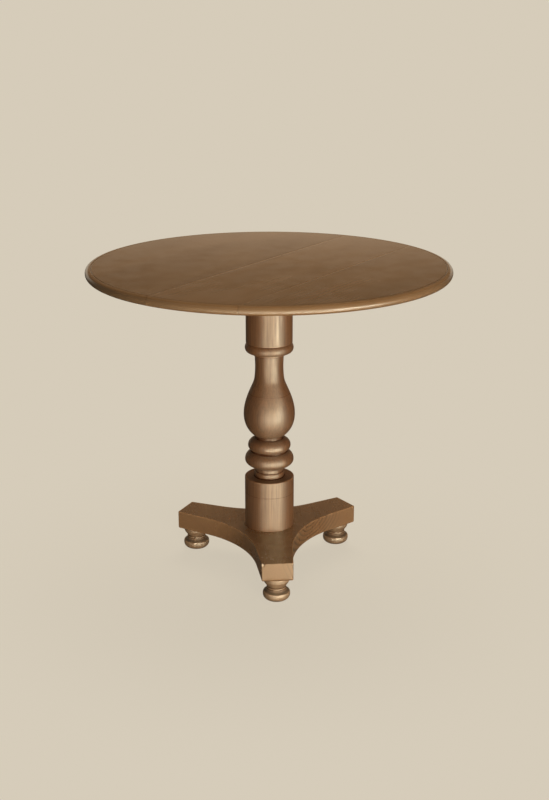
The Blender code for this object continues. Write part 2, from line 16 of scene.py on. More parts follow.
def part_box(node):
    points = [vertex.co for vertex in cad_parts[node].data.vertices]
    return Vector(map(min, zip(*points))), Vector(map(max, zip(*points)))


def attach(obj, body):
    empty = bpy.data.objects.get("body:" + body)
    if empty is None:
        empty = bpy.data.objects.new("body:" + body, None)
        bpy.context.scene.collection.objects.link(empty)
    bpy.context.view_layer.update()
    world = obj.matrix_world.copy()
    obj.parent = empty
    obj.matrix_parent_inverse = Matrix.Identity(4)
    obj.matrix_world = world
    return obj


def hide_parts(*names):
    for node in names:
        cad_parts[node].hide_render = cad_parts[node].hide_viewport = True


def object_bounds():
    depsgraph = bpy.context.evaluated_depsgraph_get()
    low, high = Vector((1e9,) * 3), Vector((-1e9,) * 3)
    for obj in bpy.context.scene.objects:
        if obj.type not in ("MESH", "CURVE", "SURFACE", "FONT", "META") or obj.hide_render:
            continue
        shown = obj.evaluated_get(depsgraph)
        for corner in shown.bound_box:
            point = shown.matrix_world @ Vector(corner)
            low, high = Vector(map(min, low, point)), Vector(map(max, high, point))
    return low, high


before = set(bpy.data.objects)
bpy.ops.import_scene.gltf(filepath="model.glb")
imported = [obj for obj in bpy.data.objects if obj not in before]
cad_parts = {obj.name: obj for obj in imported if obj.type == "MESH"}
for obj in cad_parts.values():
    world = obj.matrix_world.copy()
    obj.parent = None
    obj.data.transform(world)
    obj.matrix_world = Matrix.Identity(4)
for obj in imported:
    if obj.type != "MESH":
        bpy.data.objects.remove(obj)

bl_info = {
    "name": "Round pedestal table",
    "version": (1, 0, 0),
    "blender": (4, 5, 0),
    "location": "3D View > Sidebar > Table",
    "description": "Makes a round pedestal table's boards, turnings, platform and underframe, and a studio",
    "category": "Object",
}

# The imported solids' box, and the boxes that place the pieces
CAD_LOW, CAD_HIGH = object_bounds()
BOARD_LOW, BOARD_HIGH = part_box("top_board_middle")
BLOCK_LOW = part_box("top_block")[0]
COLUMN_LOW, COLUMN_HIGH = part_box("column")
PLATFORM_LOW, PLATFORM_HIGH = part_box("platform")
FOOT_LOW, FOOT_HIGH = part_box("foot_front")

# Gap that pieces which touch keep between them
FIT_GAP = 0.0003

# Arms of the platform, as turns from +X, and the ring of feet: how many, how far from the axis, first turn
ARM_ANGLES = {"front": math.radians(-90), "right": math.radians(30), "left": math.radians(150)}
HALF_SPREAD = math.pi / len(ARM_ANGLES)
FOOT_RING = (len(ARM_ANGLES), -(FOOT_LOW.y + FOOT_HIGH.y) / 2, ARM_ANGLES["front"])

# Handles of the turned curves, as shares of each curve's own width and drop
RING_TOP_PULLS = ((0.47, 0.12), (0.0, 0.65))
RING_BOTTOM_PULLS = ((0.0, 0.58), (0.44, 0.12))
VASE_TOP_PULLS = ((0.11, 0.17), (0.0, 0.44))
VASE_BOTTOM_PULLS = ((0.0, 0.50), (0.50, 0.18))
NECK_TOP_PULLS = ((0.6, 0.35), (0.0, 0.35))
NECK_BOTTOM_PULLS = ((0.0, 0.40), (0.52, 0.20))
FOOT_COLLAR_PULLS = ((0.0, 0.35), (0.25, 0.35))
FOOT_COVE_PULLS = ((0.05, 0.45), (0.45, 0.10))
FOOT_BUN_TOP_PULLS = ((0.8, 0.20), (0.0, 0.50))
FOOT_BUN_BOTTOM_PULLS = ((0.0, 0.62), (0.45, 0.0))

# How finely round shapes are cut, and the share of a short run that an eased corner may take
CURVE_STEPS = 16
EDGE_STEPS = 16
EASE_STEPS = 4
EASE_SHARE = 0.45
ARC_STEPS = 48
CORNER_STEPS = 5
FLOOR_SIDES = 96
SHARP_TURN = math.radians(20)
SMOOTH_ANGLE = math.radians(40)
WELD_DISTANCE = 0.000002
FIRST_GRADE = 0.0008

# Wear gathers near an arris, and painted shade in a hollow, within these distances; gentler hollows than this
# stay unshaded
WEAR_REACH = 0.0016
HOLLOW_SHADE_REACH = 0.0045
UNSHADED_TURN = 1.0

# Strips beside a board joint, as multiples of its eased arris, with their wear, by what that is divided for
# their dirt below, and the arris's own wear on the top and dirt below
JOINT_STRIPS = ((22, 0.0), (8, 0.17))
STRIP_DIRT_PART = 3
JOINT_WEAR, JOINT_DIRT = 0.6, -0.2

# How wear fades away from the platform's edges, as distances and wear, and the wear of the edges themselves,
# which on the upper edges also paints a highlight along them
UNDERSIDE_FADE = ((0.007, 0.1), (0.016, 0.0))
LOWER_SIDE_FADE = ((0.007, 0.1), (0.012, 0.0))
UPPER_SIDE_FADE = ((0.0035, 0.1), (0.008, 0.0))
TOP_FADE = ((0.0040, 0.1), (0.0100, 0.0))
LOWER_EDGE_WEAR, UPPER_EDGE_WEAR_AND_HIGHLIGHT = 0.5, 0.9

# The chip in one corner: stretch and shift of its lump, how rough it is, where its inside starts as a share
# of its size, and how far it is darkened inside and worn at its rim
CHIP_STRETCH = Vector((1.0, 0.65, 1.15))
CHIP_SHIFT = Vector((0.15, -0.10, 0.05))
CHIP_LUMPS = 0.10
CHIP_LUMP_TURN = 2.4
CHIP_INSIDE = 0.125
CHIP_DARKENING, CHIP_WEAR = -1.0, 0.15

# How a wood is finished: roughness, varnish, lustre of its fibres, shine, fine rings left by the lathe, and
# how much smoother its level faces are rubbed, through the varnish
Polish = namedtuple("Polish", "roughness coat lustre shine lathe rubbed")
WAXED_TOP = Polish(0.42, 1.00, 0.0, 0.4, 0.0, 0.33)
WAXED_PLATFORM = Polish(0.25, 0.24, 0.08, 0.8, 0.0, 0.0)
TURNED_COLUMN = Polish(0.48, 0.10, 0.14, 1.0, 0.45, 0.0)
TURNED_FOOT = Polish(0.46, 0.35, 0.10, 1.0, 0.0, 0.0)
BARE = Polish(0.62, 0.0, 0.0, 0.2, 0.0, 0.0)

# A wood as a piece shows it: early and late colour, grain's direction, shift of the pith, polish, strength of
# its figure, width, strength and reach of its rings, what level faces keep of rings, what they keep of their
# colour under the painted shade on them, and tone
Wood = namedtuple("Wood", "light dark along pith polish figure ring_width ring_share ring_reach level_rings "
                          "level_tone tone", defaults=(1.0, 0.0045, 0.06, 1.0, 1.0, 1.0, 1.0))
UPRIGHT = (0, 0, 1)

# What of the log shows on a surface, and how far the surface is end grain or level
Grain = namedtuple("Grain", "late streaks fibres pores blotches end level")

# Patterns of noise: how far they are drawn out along the grain, scale, detail, roughness, and for those that
# show as spots the levels between which the spots stand out; then the level about which noise swings
Pattern = namedtuple("Pattern", "stretch scale detail roughness levels", defaults=(None,))
RING_DRIFT = Pattern(0.16, 9.0, 2.0, 0.5)
STREAKS = Pattern(0.030, 280.0, 3.0, 0.55)
FIBRES = Pattern(0.018, 900.0, 3.0, 0.6)
PORES = Pattern(0.035, 1500.0, 1.0, 0.5, (0.62, 0.74))
BLOTCHES = Pattern(0.35, 11.0, 3.0, 0.55)
WORN_PATCHES = Pattern(1, 55.0, 4.0, 0.6, (0.30, 0.70))
GLOSS_PATCHES = Pattern(1, 24.0, 3.0, 0.5, (0.25, 0.75))
TURNING_MARKS = Pattern(6, 1400.0, 3.0, 0.6)
RUST_SPOTS = Pattern(1, 420.0, 5.0, 0.65, (0.50, 0.66))
NOISE_MIDDLE = 0.5

# How far the rings wander, the share of their reach in which they are full, and the parts of a year's growth
# in which late wood sets in and ends
RING_WANDER = 0.030
RING_FULL = 0.6
LATE_START = (0.45, 0.90)
LATE_END = (0.92, 1.0)

# How squarely a face looks along the grain or up to count as end grain or as level, and the wear of rubbed
# places and of places darkened by painted shade in hollows, by dirt in joints or inside the chip
END_FACING = (0.70, 0.95)
LEVEL_FACING = (0.5, 0.8)
RUBBED_WEAR = (0.08, 0.9)
SHADE_AND_DIRT_WEAR = (-0.02, -0.55)

# Middle shade of a wood, and how strongly its marks show in its colour
MIDDLE_SHADE = 0.55
FIBRE_SHARE = 0.5
BLOTCH_SHARE = 0.6
END_SHARE = 0.45
PORE_SHARE = 0.25
RUBBED_AND_HIGHLIGHT_SHARE = 0.55
# How far painted shade in hollows, dirt in joints and the darkening inside the chip cover the wood
SHADE_AND_DIRT_SHARE = 0.95

# Tones of late wood and of rubbed arrises, which are paler from wear and partly from a painted highlight, how
# soon a rubbed level face loses its varnish, how much varnish end grain soaks up, and the tint of reflections
LATE_TONE = 0.45
RUBBED_AND_HIGHLIGHT_TONE = 1.35
RUBBED_THROUGH = 4
SOAKED_UP = 0.7
SHEEN_TINT = (0.92, 1.0, 0.77, 1.0)

# What patches leave everywhere of rubbed places, of places darkened by painted shade or dirt, and of the
# varnish
RUBBED_LEAST = 0.35
SHADE_AND_DIRT_LEAST = 0.55
VARNISH_LEAST = 0.7

# Relief of the grain: how far fibres and streaks stand up and pores and late wood lie low, its strength and
# its depth
FIBRE_RISE, STREAK_RISE = 0.5, 0.7
PORE_DROP, LATE_DROP = 0.4, 0.25
RELIEF_STRENGTH, RELIEF_DEPTH = 0.09, 0.0005

# Roughness that glossy patches, pores and end grain add under the varnish, what rubbing and streaks take off,
# and the varnish's own
GLOSS_ROUGHNESS, PORE_ROUGHNESS, END_ROUGHNESS = 0.05, 0.12, 0.12
RUBBED_SMOOTHING, STREAK_SMOOTHING = 0.04, 0.20
VARNISH_ROUGHNESS = 0.24

# The woods' refraction, and the turn of highlights on the lathe's fine rings
WOOD_REFRACTION = 1.8
LATHE_TURN = 0.25

# Steel: tones, strength and depth of its turning marks, its roughness, what marks and rust add to that, and
# how much of the metal's shine rust covers
MARK_TONES = (0.75, 1.15)
MARK_STRENGTH, MARK_DEPTH = 0.3, 0.0001
STEEL_ROUGHNESS, MARK_ROUGHNESS, RUST_ROUGHNESS = 0.36, 0.20, 0.35
RUST_COVER = 0.9

# Reflections show a pale wall behind the table, which fades between these parts of a ray's unit direction
WALL_SPREAD = (0.7, 0.9)
WALL_FADE = (0.150, 0.205)

# The floor's shadow is full within this share of its reach
SHADOW_CORE = 0.25

# A screw's slot is cut this many head radii long, so that it runs out on both sides
SLOT_RADII = 4

# Lamps: place, what they aim at, width and height, and whether they show only in reflections
Lamp = namedtuple("Lamp", "place target size mirrored")
LAMPS = {
    "key_lamp": Lamp((0.85, -2.8, 0.60), (0.0, 0.0, 0.40), (0.8, 0.8), False),
    "back_lamp": Lamp((0.2, 1.5, 2.2), (0.0, 0.0, 0.72), (1.5, 1.5), False),
    "low_highlight": Lamp((0.15, -0.92, 0.060), (0.0, 0.0, 0.25), (1.9, 0.10), True),
    "front_highlight": Lamp((0.26, -1.64, 0.20), (0.0, 0.0, 0.35), (2.2, 0.25), True),
    "side_highlight": Lamp((1.20, -1.20, 0.25), (0.0, 0.0, 0.60), (0.9, 0.20), True),
}
LAMP_COLOUR = (1.0, 0.97, 0.90)
FILL_COLOUR = (1.0, 0.97, 0.92)
CAMERA_PLACE = (-0.21505, -2.73839, 1.288)
CAMERA_AIM = (0.078649, 0.948521, -0.306792)


def length(label, default, text):
    return FloatProperty(name=label, description=text, default=default, unit='LENGTH', precision=4)


def lengths(label, default, text):
    return FloatVectorProperty(name=label, description=text, default=default, size=len(default),
                               unit='LENGTH', precision=4)


def colour(label, default, text):
    return FloatVectorProperty(name=label, description=text, default=default, subtype='COLOR', min=0, max=1)


def early(of, default):
    return colour(f"{of}, light".capitalize(), default, f"Early wood of the {of}")


def late(of, default):
    return colour(f"{of}, dark".capitalize(), default, f"Late wood and grain of the {of}")


def amount(label, default, text):
    return FloatProperty(name=label, description=text, default=default, min=0)


def turn(label, degrees, text):
    return FloatProperty(name=label, description=text, default=math.radians(degrees), subtype='ANGLE')


def facets(default):
    return IntProperty(name="Sides", description="Facets all the way round", default=default, min=12)


def rounding(default):
    return length("Arris", default, "How far sharp corners are rounded")


class TopSizes(PropertyGroup):
    """Sizes of the round top and its boards."""

    radius: length("Radius", CAD_HIGH.x, "Half the width of the whole top")
    thickness: length("Thickness", BOARD_HIGH.z - BOARD_LOW.z, "Thickness of the boards")
    grain_turn: turn("Grain", 52.5, "Direction of the boards' grain, from +X")
    joints: lengths("Joints", (0.029, -0.167), "Distances of the back and front joint from the centre")
    joint_ease: length("Joint ease", 0.0004, "Width of the eased arris along a joint")
    quirk: lengths("Quirk", (0.0130, 0.0022, 0.0011), "Inset, width and depth of the line inside the rim")
    arris: rounding(0.0004)
    sides: facets(288)


class ColumnSizes(PropertyGroup):
    """Sizes of the turned column, from the platform up."""

    tenon_radius: length("Tenon", 0.025, "Radius of the round tenons")
    lower_drum: lengths("Lower drum", (0.0571, 0.1205), "Radius and height of the drum on the platform")
    lower_scribe_drop: length("Lower scribed line", 0.0378, "Drop of the line from the lower drum's top")
    drum_edge: length("Drum edge", 0.0012, "Chamfer round the lower drum's top")
    scribe: lengths("Scribed lines", (0.0014, 0.0006), "Width and depth of the scribed lines")
    astragal: lengths("Astragal", (0.0350, 0.0125), "Radius and height of the small bead on the lower drum")
    collar: lengths("Collar", (0.0325, 0.0110), "Radius and height of the collar under the rings")
    lower_ring: lengths("Lower ring", (0.0564, 0.0385, 0.0185), "Radius, height, height of its widest line")
    groove: lengths("Groove", (0.0405, 0.0030), "Radius and height of the groove between the rings")
    upper_ring: lengths("Upper ring", (0.0493, 0.0290, 0.0110), "Radius, height, height of its widest line")
    vase_fillet: lengths("Vase fillet", (0.0310, 0.0080), "Radius and height of the fillet under the vase")
    vase_foot_radius: length("Vase foot", 0.0360, "Radius of the vase's foot")
    vase_belly: lengths("Vase belly", (0.0590, 0.0505), "Radius of the belly, and its height over the foot")
    vase_shoulder: lengths("Vase shoulder", (0.0345, 0.1330), "Radius, and height over the vase's foot")
    vase_scribe_drop: length("Vase scribed line", 0.0325, "Drop of the line from the vase's shoulder")
    neck_waist: lengths("Neck waist", (0.0322, 0.0315), "Radius, and height over the vase's shoulder")
    neck_top: lengths("Neck top", (0.0334, 0.0585), "Radius, and height over the vase's shoulder")
    bead_fillet: lengths("Bead fillet", (0.0380, 0.0055), "Radius and height of the fillet under the bead")
    bead: lengths("Bead", (0.0554, 0.0230, 0.0094), "Radius, height, and how far the bead stands out")
    upper_drum_radius: length("Upper drum", 0.0530, "Radius of the drum under the top")
    arris: rounding(0.0006)
    sides: facets(128)


class FootSizes(PropertyGroup):
    """Sizes of one turned foot."""

    tenon_radius: length("Tenon", 0.012, "Radius of the tenon in the platform")
    collar: lengths("Collar", (0.0292, 0.007), "Radius of the collar, and height of its plain band")
    neck: lengths("Neck", (0.0205, 0.0235), "Radius of the neck, and its drop from the foot's shoulder")
    fillet: lengths("Fillet", (0.0220, 0.0022), "Radius and height of the fillet at the neck")
    rim: lengths("Rim", (0.0292, 0.0200), "Radius and height of the line where the cove meets the bun")
    bun: lengths("Bun", (0.0306, 0.0130), "Radius and height of the bun's widest line")
    pad_radius: length("Pad", 0.0170, "Radius of the flat pad on the floor")
    arris: rounding(0.0005)
    sides: facets(96)


class PlatformSizes(PropertyGroup):
    """Sizes of the three-armed platform."""

    reach: length("Arm reach", -PLATFORM_LOW.y, "Distance of an arm's end from the axis")
    end_width: length("Arm end", 0.070, "Width of an arm's end")
    flank_turn: turn("Arm flank", 25.5, "Half the turn of a hollow side's arc")
    side_radius: length("Hollow radius", 0.250, "Radius of the hollow sides")
    top_round: length("Upper edge", 0.0008, "Rounding of the upper edges")
    bottom_round: length("Lower edge", 0.0045, "Rounding of the lower edges")
    corner_round: length("Corners", 0.0025, "Rounding of the arms' upright corners")
    chip: length("Chip", 0.0160, "Size of the chip at the front arm's upper left corner")


class ScrewSizes(PropertyGroup):
    """Sizes of the slotted wood screws."""

    shank_radius: length("Shank", 0.0024, "Radius of the plain shank")
    head: lengths("Head", (0.0048, 0.0032, 0.0004), "Radius and height of the head, and height of its rim")
    point_length: length("Point", 0.005, "Length of the tapered point")
    slot: lengths("Slot", (0.0011, 0.0013), "Width and depth of the driver's slot")
    sides: facets(40)
    seed: IntProperty(name="Seed", description="Draws how far each screw is turned", default=7)


class WoodColours(PropertyGroup):
    """Colours of the woods and the screws."""

    top_light: early("top", (0.320, 0.168, 0.070))
    top_dark: late("top", (0.206, 0.102, 0.039))
    turned_light: early("column", (0.277, 0.106, 0.035))
    turned_dark: late("column", (0.150, 0.047, 0.013))
    foot_light: early("feet", (0.420, 0.226, 0.112))
    foot_dark: late("feet", (0.223, 0.107, 0.046))
    platform_light: early("platform", (0.420, 0.212, 0.090))
    platform_dark: late("platform", (0.235, 0.104, 0.040))
    under_light: early("block and battens", (0.400, 0.275, 0.155))
    under_dark: late("block and battens", (0.220, 0.135, 0.070))
    peg_light: early("dowels and wedges", (0.520, 0.390, 0.240))
    peg_dark: late("dowels and wedges", (0.330, 0.225, 0.125))
    steel: colour("Steel", (0.330, 0.310, 0.290), "The screws")
    rust: colour("Rust", (0.110, 0.062, 0.036), "Old rust in the screws' slots")


class StageSettings(PropertyGroup):
    """Floor, lamps and camera of the studio."""

    paper: colour("Ground", (0.672, 0.604, 0.490), "Colour of the floor and of what lies behind it")
    floor_radius: length("Floor", 7.0, "Radius of the round floor")
    shadow_reach: length("Shadow", 0.9, "How far from the table the floor shows shadows")
    shadow_share: amount("Shadow share", 0.12, "How much of the table's shadow the floor shows")
    mirror: amount("Mirrored room", 0.06, "How bright the room is in reflections")
    wall_mirror: amount("Mirrored wall", 0.80, "How bright the wall behind the table is in reflections")
    fill: amount("Fill", 0.20, "Light from all round")
    key_lamp: amount("Key lamp", 60.0, "Watts of the soft lamp at the front right")
    back_lamp: amount("Back lamp", 50.0, "Watts of the soft lamp above and behind")
    low_highlight: amount("Low highlight", 11.2, "Watts of the long lamp near the floor")
    front_highlight: amount("Front highlight", 11.2, "Watts of the long lamp at the front")
    side_highlight: amount("Side highlight", 10.5, "Watts of the lamp at the right")
    lens: amount("Lens", 56.64, "Camera lens, in millimetres")


class Wire:
    """An output socket that can be used in arithmetic: each operation adds a Math node."""

    def __init__(self, board, socket):
        self.board = board
        self.socket = socket

    def __add__(self, other):
        return self.board.math('ADD', self, other)

    def __sub__(self, other):
        return self.board.math('SUBTRACT', self, other)

    def __rsub__(self, other):
        return self.board.math('SUBTRACT', other, self)

    def __mul__(self, other):
        return self.board.math('MULTIPLY', self, other)

    def __truediv__(self, other):
        return self.board.math('DIVIDE', self, other)

    __radd__ = __add__
    __rmul__ = __mul__


class NodeBoard:
    """A node tree, with one method that adds any node."""

    def __init__(self, tree):
        self.tree = tree

    def add(self, kind, settings=None, values=None, output=0):
        node = self.tree.nodes.new(kind)
        for name, value in (settings or {}).items():
            setattr(node, name, value)
        self.feed(node, values or {})
        return Wire(self, node.outputs[output])

    def feed(self, node, values):
        for name, value in values.items():
            if isinstance(value, Wire):
                self.tree.links.new(value.socket, node.inputs[name])
            else:
                node.inputs[name].default_value = value

    def math(self, operation, *values):
        return self.add("ShaderNodeMath", {"operation": operation}, dict(enumerate(values)))

    def measure(self, operation, *vectors):
        """A number worked out from vectors."""
        settings = {"operation": operation}
        return self.add("ShaderNodeVectorMath", settings, dict(enumerate(vectors)), output="Value")

    def part(self, vector, axis):
        return self.add("ShaderNodeSeparateXYZ", {}, {0: vector}, output=axis)

    def combined(self, **parts):
        return self.add("ShaderNodeCombineXYZ", {}, parts)

    def turned_about_z(self, vector, angle):
        settings = {"rotation_type": 'Z_AXIS'}
        return self.add("ShaderNodeVectorRotate", settings, {"Vector": vector, "Angle": angle})

    def ramp(self, value, low, high):
        """A smooth step from 0 to 1 as a value goes from one level to another."""
        return self.add("ShaderNodeMapRange", {"interpolation_type": 'SMOOTHSTEP'},
                        {"Value": value, "From Min": low, "From Max": high})

    def noise(self, place, pattern):
        """Noise in a pattern that is drawn out along Z."""
        if pattern.stretch != 1:
            place = self.stretch(place, (1, 1, pattern.stretch))
        values = {"Vector": place, "Scale": pattern.scale, "Detail": pattern.detail,
                  "Roughness": pattern.roughness}
        return self.add("ShaderNodeTexNoise", {}, values)

    def spots(self, place, pattern):
        """The places where a pattern stands out."""
        return self.ramp(self.noise(place, pattern), *pattern.levels)

    def blend(self, factor, first, second):
        """One colour mixed with another."""
        return self.add("ShaderNodeMix", {"data_type": 'RGBA'}, {0: factor, 6: first, 7: second}, output=2)

    def mix(self, factor, first, second):
        """One shader mixed with another."""
        return self.add("ShaderNodeMixShader", {}, {0: factor, 1: first, 2: second})

    def stretch(self, place, scale, location=(0, 0, 0), rotation=(0, 0, 0)):
        values = {"Vector": place, "Location": location, "Rotation": rotation, "Scale": scale}
        return self.add("ShaderNodeMapping", {}, values)


def opaque(rgb):
    return (*rgb, 1.0)


def at_least(share, mask):
    """A mask that falls nowhere under a share."""
    return share + (1 - share) * mask


def new_finish(name):
    """A new material with its node board and shader."""
    material = bpy.data.materials.new(name)
    material.use_nodes = True
    board = NodeBoard(material.node_tree)
    return material, board, material.node_tree.nodes["Principled BSDF"]


def wood_grain(board, here, wood):
    """What of the log shows on the surface, and how far the surface is end grain or level."""
    facing = board.add("ShaderNodeNewGeometry", output="Normal")
    along = board.measure('DOT_PRODUCT', facing, wood.along)
    end = board.ramp(board.math('ABSOLUTE', along), *END_FACING)
    level = board.ramp(board.math('ABSOLUTE', board.part(facing, "Z")), *LEVEL_FACING)

    spin = Vector(wood.along).rotation_difference(Vector(UPRIGHT)).to_euler()
    log = board.stretch(here, (1, 1, 1), location=wood.pith, rotation=spin)
    distance = board.measure('LENGTH', board.stretch(log, (1, 1, 0)))
    drift = board.noise(log, RING_DRIFT) - NOISE_MIDDLE
    years = board.math('FRACT', (distance + drift * RING_WANDER) / wood.ring_width)
    late_wood = board.ramp(years, *LATE_START) * (1 - board.ramp(years, *LATE_END))
    late_wood = late_wood * (1 - board.ramp(distance, RING_FULL * wood.ring_reach, wood.ring_reach))
    late_wood = late_wood * (1 - (1 - wood.level_rings) * level)

    streaks, fibres, blotches = (board.noise(log, pattern) for pattern in (STREAKS, FIBRES, BLOTCHES))
    pores = board.spots(log, PORES) * min(1.0, wood.figure ** 2)
    return Grain(late_wood, streaks, fibres, pores, blotches, end, level)


def wood_colour(board, wood, grain, rubbed):
    """Colour of the wood: figure, rings, pores, painted shade on level faces, darker end grain, paler rubbed
    arrises that are partly a painted highlight.
    """
    light, dark = opaque(wood.light * wood.tone), opaque(wood.dark * wood.tone)
    darkest = opaque(wood.dark * (LATE_TONE * wood.tone))
    figure = (grain.streaks - NOISE_MIDDLE) + (grain.fibres - NOISE_MIDDLE) * FIBRE_SHARE
    shade = MIDDLE_SHADE + wood.figure * figure + (grain.blotches - NOISE_MIDDLE) * BLOTCH_SHARE
    body = board.blend(board.ramp(shade, 0.0, 1.0), dark, light)
    body = board.blend(grain.late * wood.ring_share, body, darkest)
    # Painted shade: faces that look up are darkened towards black, standing in for the shade they lie in
    body = board.blend(grain.level * (1 - wood.level_tone), body, opaque((0, 0, 0)))
    body = board.blend(grain.end * END_SHARE, body, dark)
    body = board.blend(grain.pores * PORE_SHARE, body, darkest)
    # Rubbed arrises turn paler: partly wear, partly a painted highlight along them
    return board.blend(rubbed * RUBBED_AND_HIGHLIGHT_SHARE, body, opaque(wood.light * (RUBBED_AND_HIGHLIGHT_TONE * wood.tone)))


def wood_sheen(board, wood, grain, rubbed, gloss):
    """Relief and shine of the wood, under its varnish if it has any."""
    polish = wood.polish
    height = (grain.fibres * FIBRE_RISE + grain.streaks * STREAK_RISE - grain.pores * PORE_DROP
              - grain.late * LATE_DROP)
    relief = {"Strength": RELIEF_STRENGTH * wood.figure, "Distance": RELIEF_DEPTH, "Height": height}
    sheen = {
        "Roughness": (polish.roughness + GLOSS_ROUGHNESS * gloss + PORE_ROUGHNESS * grain.pores
                      + END_ROUGHNESS * grain.end - RUBBED_SMOOTHING * rubbed
                      - (STREAK_SMOOTHING * wood.figure ** 2) * (grain.streaks - NOISE_MIDDLE)
                      - polish.rubbed * grain.level),
        "Coat Roughness": VARNISH_ROUGHNESS,
        "Metallic": polish.lustre,
        "Specular IOR Level": polish.shine,
        "IOR": WOOD_REFRACTION,
        "Specular Tint": SHEEN_TINT,
        "Anisotropic": polish.lathe,
        "Anisotropic Rotation": LATHE_TURN,
        "Normal": board.add("ShaderNodeBump", {}, relief),
    }
    if polish.coat:
        rubbed_through = min(1.0, RUBBED_THROUGH * polish.rubbed) * grain.level
        varnish = polish.coat * at_least(VARNISH_LEAST, gloss) * (1 - rubbed_through)
        sheen["Coat Weight"] = varnish * (1 - SOAKED_UP * grain.end)
    return sheen


def wood_finish(name, kind, along, polish, pith, **figure):
    """Satin wood: rings round a pith along the grain, fibres, pores, worn arrises with a painted highlight,
    painted shade in hollows and dirt in joints.
    """
    colours = bpy.context.scene.table_colours
    light, dark = (Vector(getattr(colours, f"{kind}_{shade}")) for shade in ("light", "dark"))
    wood = Wood(light, dark, along, pith, polish, **figure)
    material, board, shader = new_finish(name)
    here = board.add("ShaderNodeTexCoord", output="Object")
    grain = wood_grain(board, here, wood)
    worn = board.add("ShaderNodeAttribute", {"attribute_name": "wear"}, output="Fac")
    patch = board.spots(here, WORN_PATCHES)
    # Rubbed arrises: wear, which in the colour also paints a highlight along them
    rubbed = board.ramp(worn, *RUBBED_WEAR) * at_least(RUBBED_LEAST, patch)
    # Painted shade in hollows, and dirt in joints and inside the chip, where the wear lies below 0
    shade_and_dirt = board.ramp(worn, *SHADE_AND_DIRT_WEAR) * at_least(SHADE_AND_DIRT_LEAST, patch)
    gloss = board.spots(here, GLOSS_PATCHES)
    board.feed(shader, {"Base Color": wood_colour(board, wood, grain, rubbed)})
    board.feed(shader, wood_sheen(board, wood, grain, rubbed, gloss))
    # A dark matt shader mixed in for the painted shade and the dirt
    shade_and_grime = board.add("ShaderNodeBsdfPrincipled", {}, {
        "Base Color": opaque(dark * (LATE_TONE * wood.tone)), "Roughness": 1.0, "Specular IOR Level": 0.0})
    surface = board.mix(shade_and_dirt * SHADE_AND_DIRT_SHARE, Wire(board, shader.outputs["BSDF"]), shade_and_grime)
    board.feed(board.tree.nodes["Material Output"], {"Surface": surface})
    return material


def steel_finish(name, steel, rust):
    """Dull steel with turning marks and old rust."""
    material, board, shader = new_finish(name)
    here = board.add("ShaderNodeTexCoord", output="Object")
    marks = board.noise(here, TURNING_MARKS)
    rusty = board.spots(here, RUST_SPOTS)
    body = board.blend(marks, *(opaque(steel * tone) for tone in MARK_TONES))
    relief = {"Strength": MARK_STRENGTH, "Distance": MARK_DEPTH, "Height": marks + rusty}
    normal = board.add("ShaderNodeBump", {}, relief)
    board.feed(shader, {
        "Base Color": board.blend(rusty, body, opaque(rust)),
        "Metallic": 1 - RUST_COVER * rusty,
        "Roughness": STEEL_ROUGHNESS + MARK_ROUGHNESS * marks + RUST_ROUGHNESS * rusty,
        "Normal": normal,
    })
    return material


def curve(start, end, pulls):
    """Points of a smooth curve between two profile points, without the first one."""
    start_pull, end_pull = (Vector(pull) for pull in pulls)
    first, last = Vector(start), Vector(end)
    span = last - first
    first_handle, last_handle = first + start_pull * span, last - end_pull * span
    points = interpolate_bezier(first, first_handle, last_handle, last, CURVE_STEPS + 1)
    return [tuple(point) for point in points[1:]]


def curves(start, *bends):
    """A profile point and the smooth curves that run on from it, each given as its end and its pulls."""
    points = [start]
    for end, pulls in bends:
        points += curve(start, end, pulls)
        start = end
    return points


def half_round(radius, depth, top, bottom):
    """Points down a half-round moulding that stands out by the given depth."""
    middle = (top + bottom) / 2
    points = []
    for i in range(EDGE_STEPS + 1):
        angle = math.pi * (0.5 - i / EDGE_STEPS)
        points.append((radius - depth + depth * math.cos(angle), middle + (top - middle) * math.sin(angle)))
    return points


def radius_at(points, height):
    """Radius of an outline at a height."""
    for (radius_a, height_a), (radius_b, height_b) in zip(points, points[1:]):
        if height_a >= height >= height_b and height_a > height_b:
            share = (height_a - height) / (height_a - height_b)
            return radius_a + share * (radius_b - radius_a)
    raise ValueError("the scribed line lies off its surface")


def scribed(points, height, width, depth):
    """The same outline with a fine V-shaped line cut at a height."""
    top, bottom = height + width / 2, height - width / 2
    line = [(radius_at(points, top), top),
            (radius_at(points, height) - depth, height),
            (radius_at(points, bottom), bottom)]
    above = [point for point in points if point[1] > top]
    below = [point for point in points if point[1] < bottom]
    return above + line + below


def eased(points, ease):
    """The same outline with its sharp corners rounded."""
    result = [Vector(points[0])]
    for before, corner, after in zip(points, points[1:], points[2:]):
        corner = Vector(corner)
        back, ahead = Vector(before) - corner, Vector(after) - corner
        if math.pi - back.angle(ahead) < SHARP_TURN:
            result.append(corner)
            continue
        reach = min(ease, EASE_SHARE * back.length, EASE_SHARE * ahead.length)
        start, end = corner + back.normalized() * reach, corner + ahead.normalized() * reach
        for i in range(EASE_STEPS + 1):
            share = i / EASE_STEPS
            result.append(start.lerp(corner, share).lerp(corner.lerp(end, share), share))
    return result + [Vector(points[-1])]


def graded(points):
    """The same outline with extra points along its long runs, closer together near their ends."""
    result = [points[0]]
    for start, end in zip(points, points[1:]):
        run = (end - start).length
        near = []
        step = FIRST_GRADE
        while step < run / 2:
            near.append(step / run)
            step *= 2
        for share in near + [1 - share for share in reversed(near)]:
            result.append(start.lerp(end, share))
        result.append(end)
    return result


